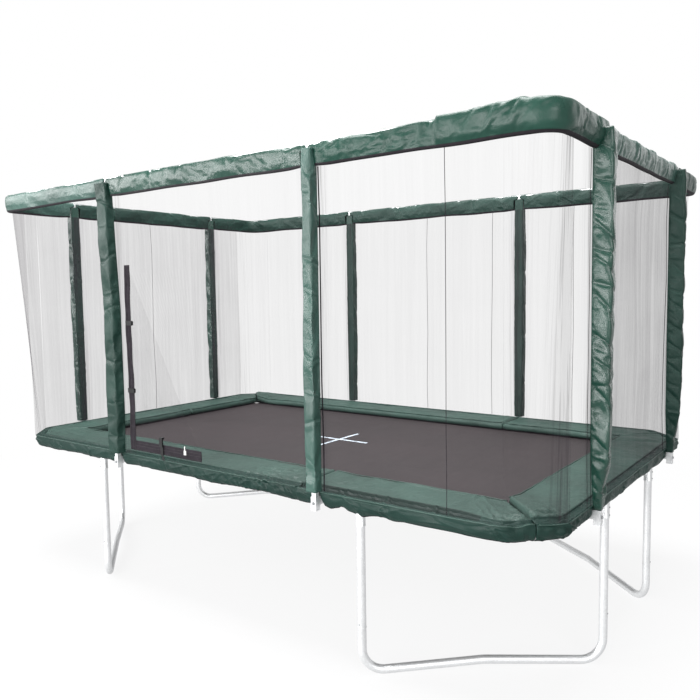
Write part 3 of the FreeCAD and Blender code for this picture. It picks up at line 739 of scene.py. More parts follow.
def post_sleeve(name, side, sign, sections, seed, slack, busy=None):
    """Soft sleeve on a post: a rounded polygon in (along, out) that changes with the height, then cloth."""
    rng = np.random.default_rng(seed)
    offset = SIDES[side][3] * sign
    sides = 48
    heights = np.array([row[0] for row in sections])
    rings = np.stack([ring_of(list(row[1]), sides, 2) for row in sections])
    z = np.linspace(heights[0], heights[-1], 230)[:, None]
    a = np.stack([np.interp(z[:, 0], heights, rings[:, i, 0]) for i in range(sides)], -1)
    o = np.stack([np.interp(z[:, 0], heights, rings[:, i, 1]) for i in range(sides)], -1)
    around = (np.arange(sides) / sides * SLEEVE_GIRTH)[None]
    tangent = unit(np.stack([np.roll(a, -1, 1) - np.roll(a, 1, 1), np.roll(o, -1, 1) - np.roll(o, 1, 1)], -1))
    wrinkle = slack * pillows(rng, z, around, heights[0], heights[-1], 0.34, 0.009)
    wrinkle = wrinkle + 0.0025 * drift(rng, z, around, 0.25)
    wrinkle = wrinkle + 0.5 * slack * folds(rng, z, around, 12, 0.10, 0.011, 0.010, 1.0, 0.5)
    if slack > 0.3:
        wrinkle = wrinkle + buckles(rng, z, around, 0.165, 0.013 * slack)
    if busy:
        middle, width, amount = busy
        mask = bell(z, middle, width)
        deep = pillows(rng, z, around, middle - 2 * width, middle + 2 * width, 0.08, 0.012)
        wrinkle = wrinkle + mask * (amount * crumple(rng, z, around, 0.07) + deep)
    wrinkle = wrinkle * ramp_up(z - heights[0], 0.02, 0.06) * ramp_up(o, 0.046, 0.012)
    held = (o < 0.046) | (z < heights[0] + 0.02) | (z > heights[-1] - 0.01)
    plan_a = a + tangent[..., 1] * wrinkle
    plan_o = np.maximum(o - tangent[..., 0] * wrinkle, SLEEVE_BACK)
    points = on_side(side, offset + plan_a, plan_o, z)
    v = np.append(around[0], SLEEVE_GIRTH)
    fabric = FABRICS.get(name, sleeve_fabric)
    sleeve = piece(name, [Patch(points, z[:, 0], v, wrap_cols=True)], fabric, body=None)
    _, after = settle(sleeve, 0.016, 9, held=held.ravel(), grow=0.010 + 0.045 * slack)
    put_points(sleeve, clear_of_post(side, offset, points.reshape(-1, 3), after))
    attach(sleeve, "frame")
    thicken(sleeve, 0.0016)
    return sleeve


def clear_of_post(side, offset, before, after):
    """Keep a sleeve's cloth outside its square post and on the outer side of the net."""
    reach = SIDES[side][2]
    run, outward = np.array([*SIDES[side][0], 0.0]), outward_of(side)
    a0, o0 = before @ run - offset, before @ outward - reach
    a1, o1 = after @ run - offset, after @ outward - reach
    low, high = 0.0165, 0.0180
    a = np.where(a0 > high, np.maximum(a1, low), np.where(a0 < -high, np.minimum(a1, -low), a1))
    o = np.where(o0 > 0.078, np.maximum(o1, 0.0755), np.maximum(o1, 0.0416))
    return after + (a - a1)[:, None] * run + (o - o1)[:, None] * outward


def sleeve_plan(right, outer_right, outer_left, left):
    """Four corners of a sleeve's plan in (along, out); the two inner ones lie just outside the net."""
    return [(right, SLEEVE_BACK), outer_right, outer_left, (left, SLEEVE_BACK)]


def square_plan(half, depth):
    """A sleeve's plan with square corners."""
    return sleeve_plan(half, (half, SLEEVE_BACK + depth), (-half, SLEEVE_BACK + depth), -half)


def post_sleeves():
    """Eight sleeves: those of the right side hang slack towards the front, gathered on their sockets."""
    foot, top = 0.955, 2.722
    plain = [(foot, square_plan(0.034, 0.058)), (1.6, square_plan(0.038, 0.064)),
             (2.4, square_plan(0.039, 0.062)), (top, square_plan(0.036, 0.056))]
    leaning = [(foot, sleeve_plan(0.064, (0.050, 0.098), (-0.046, 0.100), -0.042)),
               (1.20, sleeve_plan(0.078, (0.060, 0.104), (-0.046, 0.104), -0.042)),
               (1.90, sleeve_plan(0.076, (0.060, 0.104), (-0.036, 0.104), -0.034)),
               (2.30, sleeve_plan(0.050, (0.042, 0.104), (-0.058, 0.104), -0.054)),
               (top, sleeve_plan(0.030, (0.026, 0.102), (-0.084, 0.100), -0.078))]
    narrow = [(foot, square_plan(0.034, 0.058)),
              (1.6, sleeve_plan(0.037, (0.036, 0.104), (-0.032, 0.104), -0.034)),
              (top, sleeve_plan(0.039, (0.037, 0.102), (-0.023, 0.100), -0.026))]
    cuff = [(0.0195, 0.0405), (0.0195, 0.079), (-0.0195, 0.079), (-0.0195, 0.0405)]
    collar = [(0.022, 0.0405), (0.022, 0.083), (-0.026, 0.083), (-0.026, 0.0405)]
    wide = [(0.926, cuff), (foot, collar),
            (1.020, [(0.030, 0.042), (0.024, 0.088), (-0.052, 0.092), (-0.050, 0.042)]),
            (1.20, [(0.036, 0.042), (0.010, 0.114), (-0.090, 0.134), (-0.086, 0.042)]),
            (1.90, [(0.036, 0.042), (0.010, 0.116), (-0.102, 0.140), (-0.100, 0.042)]),
            (top, [(0.036, 0.042), (0.012, 0.118), (-0.104, 0.140), (-0.108, 0.042)])]
    places = {
        "front": ((-1, leaning, 11, 0.22, None), (1, narrow, 12, 0.12, None)),
        "right": ((-1, wide, 13, 0.62, (1.06, 0.08, 0.002)), (1, wide, 14, 0.40, None)),
        "back": ((-1, plain, 15, 0.15, None), (1, plain, 16, 0.15, None)),
        "left": ((-1, plain, 17, 0.25, None), (1, plain, 18, 0.15, None)),
    }
    for side, pair in places.items():
        made = [post_sleeve("post_sleeve_%s_%d" % (side, i), side, sign, sections, seed, slack, busy)
                for i, (sign, sections, seed, slack, busy) in enumerate(pair)]
        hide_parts("post_sleeves_" + side)


def rail_section(count):
    """Loop of a hanging sleeve's section: both faces flare a little towards the hem, and the top is round."""
    knots = np.array([(0.0, 0.0), (0.008, 0.0), (0.013, 0.004), (0.018, 0.016), (0.025, 0.042),
                      (0.0265, 0.075), (0.024, 0.100), (0.018, 0.115), (0.008, 0.1215), (0.0, 0.1225)])
    loop = np.concatenate([knots, knots[-2:0:-1] * (-1, 1)])
    closed = np.concatenate([loop, loop[:1]])
    length = lengths_along(closed)
    at = np.linspace(0, length[-1], count, endpoint=False)
    return np.interp(at, length, closed[:, 0]), np.interp(at, length, closed[:, 1]), at, length[-1]


def rail_sleeve(name, stations, outward, seed, slack, gathers, cross=26, pinches=(), lap=None, puff=None):
    """A hanging sleeve carried along a run of the rail: its section's height and width swell with its folds.

    Its top laps onto the posts and its foot is hemmed. It is narrow at its ends and dented at the pinches;
    from the lap on it lies over another sleeve, and about the puff it is blown out and fans into creases.
    """
    rng = np.random.default_rng(seed)
    o, h, around, loop = rail_section(48)
    t = around[None]
    s = lengths_along(stations)[:, None]
    end = np.minimum(s, s[-1] - s)
    full = np.clip(end / 0.10, 0, 1)
    full = full * full * (3 - 2 * full)
    loose = 0.4 + slack
    wrinkle = folds(rng, s, t, gathers // 2, 0.07, 0.011, 0.009 * loose, math.pi / 2, 0.3)
    wrinkle = wrinkle + folds(rng, s, t, cross // 2, 0.18, 0.013, 0.007 * loose, 0.4, 0.5)
    wrinkle = wrinkle + 0.0035 * drift(rng, s, t, 0.30) + 0.0016 * loose * crumple(rng, s, t, 0.16)
    near = bell(end, 0.05, 0.07)
    wrinkle = wrinkle + near * folds(rng, s, t, 20, 0.06, 0.010, 0.016 * (0.2 + slack), 0.8, 0.5)
    for place, depth, slant in pinches:
        wrinkle = wrinkle - depth * crest((s - place - slant * (h[None] - 0.06)) / 0.011, 0.05, 0.5, 4)
    width, height = 0.80 + 0.20 * full, 1.0
    upper = np.clip(h / 0.08, 0, 1)[None]
    if lap is not None:
        over = ramp_up(s, lap, 0.005)
        wrinkle = wrinkle + 0.011 * over
        height = height + 0.05 * over * upper
    if puff is not None:
        hump = bell(s, puff, 0.17)
        width = width + 0.30 * hump
        height = height + 0.10 * hump * upper
        fan = folds(rng, s, t, 60, 0.24, 0.014, 0.021, 0.85, 0.25)
        wrinkle = wrinkle + hump * (0.003 * crumple(rng, s, t, 0.14, 5) + fan)
    wrinkle = np.where(h[None] > 0.08, np.maximum(wrinkle, -0.0025), wrinkle) * ramp_up(h, 0.010, 0.02)[None]
    lean_out = np.sign(o)[None] * np.clip(np.abs(o) / 0.012, 0, 1)[None]
    low_part = np.clip(1 - h / 0.06, 0, 1)[None]
    rise = RAIL_HEM + h[None] * height + (0.004 * drift(rng, s, 0.0, 0.5) + 0.004 * (1 - full)) * low_part
    rise = rise + (wrinkle * 0.6 + 0.0015) * ramp_up(h, 0.1, 0.02)[None]
    out = o[None] * width + wrinkle * lean_out
    lap_on_post = ramp_up(h, 0.082, 0.012)[None] * 0.037
    shift = lap_on_post * (np.clip(1 - (s[-1] - s) / 0.08, 0, 1) - np.clip(1 - s / 0.08, 0, 1))
    tangent = unit(np.gradient(stations[:, :2], axis=0))
    points = np.empty((*out.shape, 3))
    moved = outward[:, None, :2] * out[..., None] + tangent[:, None] * shift[..., None]
    points[..., :2] = stations[:, None, :2] + moved
    points[..., 2] = rise
    tint = (h < 0.0105).astype(float)[None]
    patch = Patch(points, s[:, 0], np.append(around, loop), wrap_cols=True, tint=tint)
    sleeve = piece(name, [patch], FABRICS.get(name, sleeve_fabric), body=None)
    held = (end < 0.015) | (h[None] < 0.012)
    cap = 0.013 if puff is None else 0.009
    _, after = settle(sleeve, cap, 9, held=held.ravel(), grow=0.006 + 0.05 * slack)
    put_points(sleeve, clear_of_rail(stations, outward, points, after.reshape(points.shape)))
    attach(sleeve, "frame")
    thicken(sleeve, 0.0014)
    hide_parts(name)
    return sleeve


def clear_of_rail(stations, outward, before, after):
    """Keep a hanging sleeve's cloth outside the square rail that it hangs on."""
    side0 = np.einsum("ijk,ik->ij", before - stations[:, None], outward)
    side1 = np.einsum("ijk,ik->ij", after - stations[:, None], outward)
    beside = (before[..., 2] > 2.712) & (np.abs(side0) > 0.0152)
    wanted = np.where(beside, np.sign(side0) * np.maximum(np.sign(side0) * side1, 0.0152), side1)
    result = after + (wanted - side1)[..., None] * outward[:, None]
    over = (before[..., 2] > 2.7515) & (np.abs(side0) < 0.017)
    result[..., 2] = np.where(over, np.maximum(result[..., 2], 2.7518), result[..., 2])
    return result


def rail_sleeves():
    """Sleeves over the rail: one between the two posts of a side and one round each corner."""
    step = 0.011
    pinches = {
        "right": [(0.16, 0.010, 0.15), (0.47, 0.013, 0.25), (0.80, 0.012, 0.1), (1.08, 0.014, 0.3),
                  (1.27, 0.009, 0.1)],
        "front": [(0.12, 0.006, 0.3), (0.42, 0.007, -0.2), (0.55, 0.006, 0.2)],
    }
    for seed, side in enumerate(SIDES):
        reach = SIDES[side][3] - RAIL_GAP
        line = on_side(side, np.linspace(-reach, reach, int(reach * 2 / step)), POST_OUT, 0.0)
        out = np.broadcast_to(outward_of(side), line.shape)
        rail_sleeve("rail_sleeve_" + side, line, out, 31 + seed, slack=0.35 if side == "right" else 0.06,
                    gathers=40, pinches=pinches.get(side, []))
    corner_cloth = {
        "front_left": {"slack": -0.08, "gathers": 16, "cross": 12},
        "front_right": {"slack": 0.35, "gathers": 44, "cross": 40, "lap": 0.70, "puff": 1.10},
        "back_left": {"slack": 0.10, "gathers": 44, "cross": 40},
        "back_right": {"slack": 0.10, "gathers": 44, "cross": 40},
    }
    for seed, (name, (sx, sy)) in enumerate(CORNERS.items()):
        corner = (sx * (HALF_LENGTH + POST_OUT), sy * (HALF_WIDTH + POST_OUT), 0)
        points = [(sx * (POST_ALONG["long"] + RAIL_GAP), corner[1], 0), corner,
                  (corner[0], sy * (POST_ALONG["short"] + RAIL_GAP), 0)]
        route = rounded_route(points, [RAIL_RADIUS], step)
        s = lengths_along(route)
        even = np.linspace(0, s[-1], int(s[-1] / step))
        route = np.stack([np.interp(even, s, route[:, i]) for i in range(3)], -1)
        tangent = np.gradient(route, axis=0)
        out = unit(np.stack([tangent[:, 1], -tangent[:, 0], 0 * tangent[:, 0]], -1))
        out *= np.sign(out[0] @ np.array([0, sy, 0]))
        rail_sleeve("rail_sleeve_corner_" + name, route, out, 41 + seed, **corner_cloth[name])


# Net

def net_point(side, along, z):
    """The net wall of a side, with slow waves that die away at its edges."""
    wave = 0.007 * np.sin(along * 2.3 + 1.0) * np.sin(z * 1.9) + 0.004 * np.sin(along * 7.1 + z * 2.0)
    hold = ramp_up(z, NET_LOW, 0.25) * ramp_down(z, NET_HIGH, 0.25)
    return on_side(side, along, NET_OUT - np.abs(wave) * hold * 1.6, z)


def net_patch(side, left, right, low, high, gather=()):
    """Net between two edges, each a (place at the low height, place at the high height) pair.

    Each gather is (place, width, amount) of cloth that hangs denser.
    """
    rows = max(4, int((high - low) / 0.05))
    cols = max(3, int(max(right[0] - left[0], right[1] - left[1]) / 0.05))
    z = np.linspace(low, high, rows)[:, None]
    share = (z - low) / (high - low)
    a0 = left[0] + (left[1] - left[0]) * share
    a1 = right[0] + (right[1] - right[0]) * share
    f = np.linspace(0, 1, cols)[None]
    along = a0 + (a1 - a0) * f
    tint = np.zeros(along.shape)
    for place, width, amount in gather:
        tint = tint + amount * bell(along, place, width)
    return Patch(net_point(side, along, z), z[:, 0], f[0] * max(right[0] - left[0], 0.1), tint=tint)


def net_strip(side, left, right, low=NET_LOW, high=NET_HIGH, gather=()):
    """Net between two upright edges."""
    return net_patch(side, (left, left), (right, right), low, high, gather)


def net_walls():
    """See-through walls between the rail sleeves and the pads; the front one leaves the doorway open."""
    door = {"left": -0.675, "right": -0.046, "foot": -0.075, "low": 1.050, "high": 2.140}
    end_x = HALF_LENGTH - NET_CORNER_BACK
    end_y = HALF_WIDTH - NET_CORNER_BACK
    beside_door = net_patch("front", (door["foot"], door["left"]), (door["right"], door["right"]),
                            door["low"], door["high"])
    front = [
        net_strip("front", -end_x, door["left"], gather=[(-0.80, 0.03, 0.30), (-0.90, 0.03, 0.2)]),
        net_strip("front", door["left"], door["right"], high=door["low"]),
        beside_door,
        net_strip("front", door["left"], door["right"], low=door["high"]),
        net_strip("front", door["right"], end_x, gather=[(0.80, 0.02, 0.2), (0.90, 0.02, 0.25)]),
    ]
    walls = [("front", front, net_front_cloth, 2 * end_x)]
    seam = -POST_ALONG["short"] - 0.02
    for side, low, high, cloth in (("right", seam, end_y, net_right_cloth),
                                   ("back", -end_x, end_x, net_back_cloth),
                                   ("left", -end_y, end_y, net_left_cloth)):
        offset = SIDES[side][3]
        strip = net_strip(side, low, high, gather=[(-offset, 0.05, 0.35), (offset, 0.05, 0.35)])
        walls.append((side, [strip], cloth, high - low))
    bay = net_strip("right", -end_y, seam, gather=[(-0.79, 0.09, 0.60)])
    walls.append(("right_bay", [bay], net_front_cloth, seam + end_y))
    for side, patches, cloth, length in walls:
        wall = piece("net_" + side, patches, cloth)
        if side != "right_bay":
            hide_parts("net_" + side)
    for i, name in enumerate(CORNERS):
        corner, flat, area = net_corner(name)
        if i == 0:
            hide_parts("net_corners")


def net_corner(name):
    """Corner net: rows blend from the foot, cut straight across the corner, to the rail's round bend."""
    sx, sy = CORNERS[name]
    x, y = HALF_LENGTH + NET_OUT, HALF_WIDTH + NET_OUT
    end_x, end_y = HALF_LENGTH - NET_CORNER_BACK, HALF_WIDTH - NET_CORNER_BACK
    radius = RAIL_RADIUS - (POST_OUT - NET_OUT)
    turn = np.linspace(0, np.pi / 2, 12)
    bend = np.stack([x - radius * (1 - np.sin(turn)), y - radius * (1 - np.cos(turn))], -1)
    top = np.concatenate([[(end_x, y)], bend, [(x, end_y)]])
    foot = np.array([(end_x, y), (x, end_y)])
    share = np.linspace(0, 1, 72)
    at = lengths_along(top)
    top = np.stack([np.interp(share * at[-1], at, top[:, i]) for i in range(2)], -1)
    foot = foot[0] + (foot[1] - foot[0]) * share[:, None]
    z = np.linspace(NET_LOW, NET_HIGH, 40)[:, None]
    rise = (z - NET_LOW) / (NET_HIGH - NET_LOW)
    plan = foot[None] * (1 - rise[..., None]) + top[None] * rise[..., None]
    ripple = 0.0022 * np.sin(share * 46 + 0.9 * np.sin(z * 3)) + 0.0014 * np.sin(share * 83)
    inward = ripple * np.sin(np.pi * share) ** 0.5
    plan = plan - (inward[..., None] + 0.002 * np.sin(np.pi * share)[None, :, None]) * math.sqrt(0.5)
    points = np.concatenate([plan * (sx, sy), np.broadcast_to(z, plan.shape[:2])[..., None]], -1)
    gathered = 0.36 if name == "front_right" else 0.05
    tint = 0.02 + gathered * bell(share, 0.90, 0.22)
    cloth = [Patch(points, z[:, 0], share * at[-1], tint=tint)]
    fabric = net_left_cloth if name == "front_left" else net_front_cloth
    net = piece("net_corner_" + name, cloth, fabric)
    height = NET_HIGH - NET_LOW
    chord = math.hypot(x - end_x, y - end_y)
    return net, (at[-1], height), 0.5 * (at[-1] + chord) * height


def net_tapes():
    """Dark upright seam tapes where the net meets the posts and at its seams."""
    places = [("front", 0.893, 0.004), ("right", -0.853, 0.003), ("right", 0.628, 0.006),
              ("back", 0.0, 0.0015), ("back", 1.30, 0.0015), ("back", -1.3, 0.0015),
              ("front", 1.62, 0.0015), ("left", 0.0, 0.0015), ("back", 0.62, 0.0015)]
    for i, (side, along, half) in enumerate(places):
        z = np.linspace(NET_LOW + 0.004, NET_HIGH - 0.006, 60)[:, None]
        a = along + np.array([-half, half])[None] + 0.003 * np.sin(z * 2.2 + i)
        points = net_point(side, a, z) + outward_of(side) * 0.0008
        strip = Patch(points, z[:, 0], np.array([0, 2 * half]))
        strip = piece("net_tape_%d" % i, [strip], tape)
        thicken(strip, 0.0009, 0.0)


# Pads

def pad_stations(knots, step):
    """Matching inner and outer edge stations of a pad, with the outer edge's corners rounded."""
    place = np.array([k[0] for k in knots])
    inner = np.array([k[1] for k in knots], float)
    outer = np.array([k[2] for k in knots], float)
    count = int(place[-1] / step) + 1
    at = np.linspace(0, place[-1], count)
    inner = np.stack([np.interp(at, place, inner[:, i]) for i in range(2)], -1)
    outer = np.stack([np.interp(at, place, outer[:, i]) for i in range(2)], -1)
    return at, inner, smooth_run(outer, max(2, int(0.035 / step)))


def pad_layout():
    """Inner and outer edge knots of the seven pads, (place, inner point, outer point), in plan."""
    x, y = HALF_LENGTH + PAD_OUT, HALF_WIDTH + PAD_OUT
    ix, iy = HALF_LENGTH - PAD_IN, HALF_WIDTH - PAD_IN
    reach = ((x - PAD_CUT) - ix + (y - PAD_CUT) - iy) / 2 + PAD_CUT / 2
    tip = (ix + reach, iy + reach)
    gap, bend, plain = -0.0015, 0.08, 0.25
    layout = {}

    def run(name, side, low, high):
        """A pad on one side; None is a mitred corner."""
        long_side = side in ("front", "back")
        sign = {"front": -1, "back": 1, "right": 1, "left": -1}[side]
        end_in, end_out, cut_start = (ix, tip[0], x - PAD_CUT) if long_side else (iy, tip[1], y - PAD_CUT)
        far, near, tip_far = (y, iy, tip[1]) if long_side else (x, ix, tip[0])
        knots = []
        if low is None:
            knots += [(-end_out, -end_in + gap, near, -end_out + gap, tip_far),
                      (-cut_start, -end_in + bend, near, -cut_start, far),
                      (-end_in + plain, -end_in + plain, near, -end_in + plain, far)]
        else:
            knots += [(low + gap, low + gap, near, low + gap, far)]
        if high is None:
            knots += [(end_in - plain, end_in - plain, near, end_in - plain, far),
                      (cut_start, end_in - bend, near, cut_start, far),
                      (end_out, end_in - gap, near, end_out - gap, tip_far)]
        else:
            knots += [(high - gap, high - gap, near, high - gap, far)]
        rows = []
        for place, a_in, n, a_out, f in knots:
            inner = (a_in, sign * n) if long_side else (sign * n, a_in)
            outer = (a_out, sign * f) if long_side else (sign * f, a_out)
            rows.append((place - knots[0][0], inner, outer))
        layout[name] = (side, knots[0][0], rows)

    run("pad_front_left", "front", None, 0.700)
    run("pad_front_right", "front", 0.700, None)
    run("pad_right", "right", None, None)
    run("pad_back_right", "back", 0.880, None)
    run("pad_back_left", "back", None, 0.880)
    run("pad_left_back", "left", 0.100, None)
    run("pad_left_front", "left", None, 0.100)
    return layout


def shoulder_at(name, s):
    """Share of a pad's width where its thick part ends; it is less on most of the front right pad."""
    if name == "pad_front_right":
        return np.interp(s, (0.0, 0.95, 1.12, 1.31), (0.725, 0.725, 0.840, 0.860))
    return np.full(s.shape, 0.850)


def pad_slab(name, at, inner, outer, seed, bunch, lift):
    """Foam slab: a closed section from the inner to the outer edge, carried along the pad's stations.

    It is crowned and puckered, droops towards the mat, and is thin outside its shoulder. Each bunch is a
    place, a width and an amount of crumpled cover; lift raises the first end over its neighbour.
    """
    rng = np.random.default_rng(seed)
    middle, half = (PAD_TOP + PAD_LOW) / 2, (PAD_TOP - PAD_LOW) / 2
    count = 96
    f = np.concatenate([np.linspace(1, 0, count // 2), np.linspace(0, 1, count // 2)])[None]
    edge = np.minimum(f, 1 - f)
    h = np.sqrt(1 - (1 - np.clip(edge / 0.05, 0, 1)) ** 2)
    upper = np.concatenate([np.ones(count // 2), -np.ones(count // 2)])[None]
    width, thin_top, thin_ceiling = 0.338, 0.9320, 0.9345
    s, t = at[:, None], f * width
    swell = 0.0035 * drift(rng, s, t, 0.45) + 0.0018 * drift(rng, s, t, 0.14)
    swell = swell + 0.0012 * crumple(rng, s, t, 0.12)
    rim = bell(f, 1, 0.12)
    swell = swell + rim * folds(rng, s, t, max(8, int(at[-1] * 12)), 0.05, 0.010, 0.007, math.pi / 2, 0.5)
    for place, wide, amount in bunch:
        mask = bell(s, place, wide) * np.clip(f * 1.4, 0, 1)
        swell = swell + amount * mask * 0.006 * crumple(rng, s, t, 0.06)
        near_s = np.clip(s, place - 1.5 * wide, place + 1.5 * wide)
        near_t = np.clip(t, 0.5 * width, None)
        creased = folds(rng, near_s, near_t, int(260 * wide), 0.055, 0.008, 0.013, 1.0, 0.8)
        swell = swell + amount * mask * ramp_up(f, 0.50, 0.2) * creased
    ends = np.minimum(at, at[-1] - at)[:, None]
    round_end = np.sqrt(np.clip(1 - (1 - np.clip(ends / 0.010, 0, 1)) ** 2, 0, 1))
    full = h * half * (0.70 + 0.30 * round_end)
    swell = swell + 0.004 * bell(ends, 0.022, 0.016)
    z = middle + np.where(upper > 0, full + (0.004 * np.sin(np.pi * f) + swell) * h * round_end, -full)
    droop = np.where(upper > 0, -0.005, 0.019)
    z = z - droop * ramp_down(f, 0.72, 0.72) ** 1.5
    shoulder = shoulder_at(name, s)
    thin = ramp_up(f, shoulder, 0.035) * (upper > 0)
    z = np.where(thin > 0, z + (thin_top - z) * thin, z + 0.003 * (upper > 0) * h)
    z = z + lift * bell(s, 0, PAD_LIFT_REACH)
    reach = np.clip(1 - f / 0.25, 0, 1)[..., None] * 0.070
    plan = inner[:, None] * (1 - f[..., None] + reach) + outer[:, None] * (f[..., None] - reach)
    points = np.concatenate([plan, z[..., None]], -1)
    v = np.linspace(0, 2 * width, count + 1)
    patch = Patch(points, at, v, wrap_cols=True, caps=True)
    slab = piece(name, [patch], pad_fabric, body=None)
    ceiling = np.where(f > shoulder + 0.02, thin_ceiling + lift * bell(s, 0, PAD_LIFT_REACH), 1.0)
    inflate(slab, 0.007, np.broadcast_to(ceiling, z.shape).ravel())
    column = int(round(0.988 * (count // 2 - 1)))
    piece("piping_" + name[4:], [wire(points[1:-1, column], 0.0032, 6)], pad_fabric)
    return slab


def inflate(obj, cap, ceiling):
    """Blow a pad up a little; its lower face stays above the frame and its thin part under the strip."""
    before, after = settle(obj, cap, 8, pressure=4.5, stiff=20.0, bend=1.2)
    after[:, 2] = np.maximum(after[:, 2], np.minimum(before[:, 2], PAD_LOW))
    after[:, 2] = np.minimum(after[:, 2], ceiling)
    put_points(obj, after)


def pad_skirt(name, side, start, at, outer, seed, bunch, droop, lift, tents):
    """Edge of a pad: a strip from its shoulder dips and comes up to a piped rim, then hangs and tucks in.

    The hanging part is wavy and creased, most of all at the bunches, where the rim curls too. Its edge
    hangs lower at each droop, and each tent is a pleat that stands up in the strip.
    """
    rng = np.random.default_rng(seed)
    wall, hanging, usual_strip = 0.114, 0.080, 0.0924
    rim_z, edge_z, edge_z_by_post = 0.947, 0.866, 0.9265
    t = np.linspace(0, 1, 64)[None]
    s = at[:, None]
    drop = t * (wall + hanging)
    over = np.clip(drop / wall, 0, 1)
    down = ramp_up(drop, wall, hanging)
    tangent = np.gradient(outer, axis=0)
    normal = unit(np.stack([tangent[:, 1], -tangent[:, 0]], -1))
    middle = len(outer) // 2
    if normal[middle] @ outer[middle] < 0:
        normal = -normal
    along = start + s
    posts = np.minimum(np.abs(along - SIDES[side][3]), np.abs(along + SIDES[side][3]))
    clear = ramp_up(posts, 0.028, 0.03)
    wrinkle = folds(rng, s, drop, int(at[-1] * 28) + 8, 0.050, 0.010, 0.015, 1.1, 0.5)
    wrinkle = wrinkle + folds(rng, s, drop, int(at[-1] * 14) + 6, 0.18, 0.011, 0.012, 0.05, 0.2)
    wrinkle = wrinkle + 0.0008 * crumple(rng, s, drop, 0.12) + 0.004 * drift(rng, s, drop, 0.35)
    pleats = folds(rng, s, drop, int(at[-1] * 34) + 4, 0.060, 0.009, 0.012, 1.30, 0.45)
    curl = 0
    for place, width, amount in bunch:
        mask = bell(s, place, width)
        curl = curl + np.maximum(amount - 0.8, 0) * mask * drift(rng, s, 0.0, 0.055, 5)
        near_s = np.clip(s, place - 1.5 * width, place + 1.5 * width)
        sharp = folds(rng, near_s, drop, int(230 * width), 0.060, 0.009, 0.017, 0.8, 0.7)
        wrinkle = wrinkle + amount * mask * (sharp + 0.005 * crumple(rng, s, drop, 0.07, 6))
        pleats = pleats + amount * mask * (0.7 * np.abs(sharp) + 0.006 * crumple(rng, s, drop, 0.06, 6))
    for place, height in tents:
        pleats = pleats + height * crest((s - place - 0.3 * (drop - 0.05)) / 0.011, 0.05, 0.3, 3)
    knots = (0.0, 0.13, 0.20, 0.30, 0.46, 0.72, 0.95, 1.0)
    narrow = (1 - shoulder_at(name.replace("skirt", "pad"), s)) * PAD_WIDTH / usual_strip
    wall_out = np.interp(over, knots, (-0.103, -0.090, -0.083, -0.078, -0.062, -0.032, -0.004, 0.001))
    wall_out = wall_out * narrow
    wall_z = np.interp(over, knots, (0.949, 0.9585, 0.9560, 0.9455, 0.9385, 0.9410, 0.9500, rim_z))
    wall_z = wall_z + (0.9560 - wall_z) * (1 - narrow) * ramp_up(over, 0.2, 0.1)
    wall_z = wall_z + lift * bell(s, 0, PAD_LIFT_REACH) * (1 - over)
    steep = ramp_up(over, 0.12, 0.10) * ramp_down(over, 1, 0.12) * (0.4 + 0.6 * narrow)
    hang = 0.004 * np.sin(np.pi * np.clip(down * 1.3, 0, 1)) - 0.020 * ramp_up(down, 0.55, 0.45) ** 2
    offset = wall_out + hang
    offset = offset + wrinkle * np.clip(down * 4, 0, 1) * (0.25 + 0.75 * clear)
    offset = np.where(clear < 1, np.minimum(offset, 0.0035 + 0.01 * clear), offset)
    by_rim = bell(drop, wall, 0.018)
    offset = np.minimum(offset + 0.007 * curl * by_rim, 0.018)
    edge = edge_z + 0.005 * drift(rng, s, 0.0, 0.40) + 0.0015 * drift(rng, s, 0.0, 0.12)
    for place, width, depth in droop:
        edge = edge - depth * bell(s, place, width)
    edge = edge + (edge_z_by_post - edge) * ramp_down(posts, 0.026, 0.006)
    z = wall_z - (rim_z - edge) * down + np.maximum(pleats, -0.003) * steep
    z = z + 0.008 * curl * by_rim * clear
    clear_of_tube = np.sqrt(np.clip((FRAME_R + 0.003) ** 2 - (z - FRAME_Z) ** 2, 0, None)) - PAD_OUT
    offset = np.where(down > 0, np.maximum(offset, clear_of_tube), offset)
    plan = outer[:, None] + normal[:, None] * offset[..., None]
    points = np.concatenate([plan, z[..., None]], -1)
    # Tint 1 is the hem tape; 0.3 marks the strip from shoulder to rim, which the fabric darkens as painted
    # shade of its recess.
    tint = (down > 0.955) * 1.0 + 0.3 * (over < 0.93) * (narrow > 0.7)
    skirt = piece(name, [Patch(points, at, drop[0], tint=tint)], skirt_fabric)
    rim = int(np.searchsorted(drop[0], wall))
    line = points[:, rim] + np.concatenate([normal * 0.0022, np.zeros((len(at), 1))], -1)
    piece(name + "_piping", [wire(line[1:-1], 0.0030, 6)], pad_fabric)
    return thicken(skirt, 0.0016)


def pads():
    """Seven pads, each a simulated foam slab with piping and a hanging edge."""
    bunches = {
        "pad_front_left": [(2.42, 0.24, 1.8), (1.80, 0.22, 0.6), (1.05, 0.15, 0.5)],
        "pad_front_right": [(0.60, 0.10, 0.6), (1.25, 0.11, 1.9)],
        "pad_right": [(0.10, 0.12, 1.9), (0.55, 0.2, 0.6), (1.9, 0.15, 0.5)],
    }
    droops = {
        "pad_front_right": [(0.22, 0.03, 0.012), (0.30, 0.02, -0.016), (0.42, 0.04, 0.012),
                            (0.62, 0.05, 0.010)],
        "pad_front_left": [(0.35, 0.06, 0.006)],
    }
    tents = {"pad_front_right": [(0.55, 0.018), (0.83, 0.020), (0.30, 0.010)]}
    for seed, (name, (side, start, knots)) in enumerate(pad_layout().items()):
        at, inner, outer = pad_stations(knots, 0.012)
        lift = 0.013 if name in ("pad_right", "pad_back_left") else 0.0
        bunch = bunches.get(name, [])
        slab = pad_slab(name, at, inner, outer, 60 + seed, bunch, lift)
        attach(slab, "frame")
        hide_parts(name)
        at, inner, outer = pad_stations(knots, 0.008)
        pad_skirt("skirt_" + name[4:], side, start, at, outer, 80 + seed, bunch, droops.get(name, []), lift,
                  tents.get(name, []))


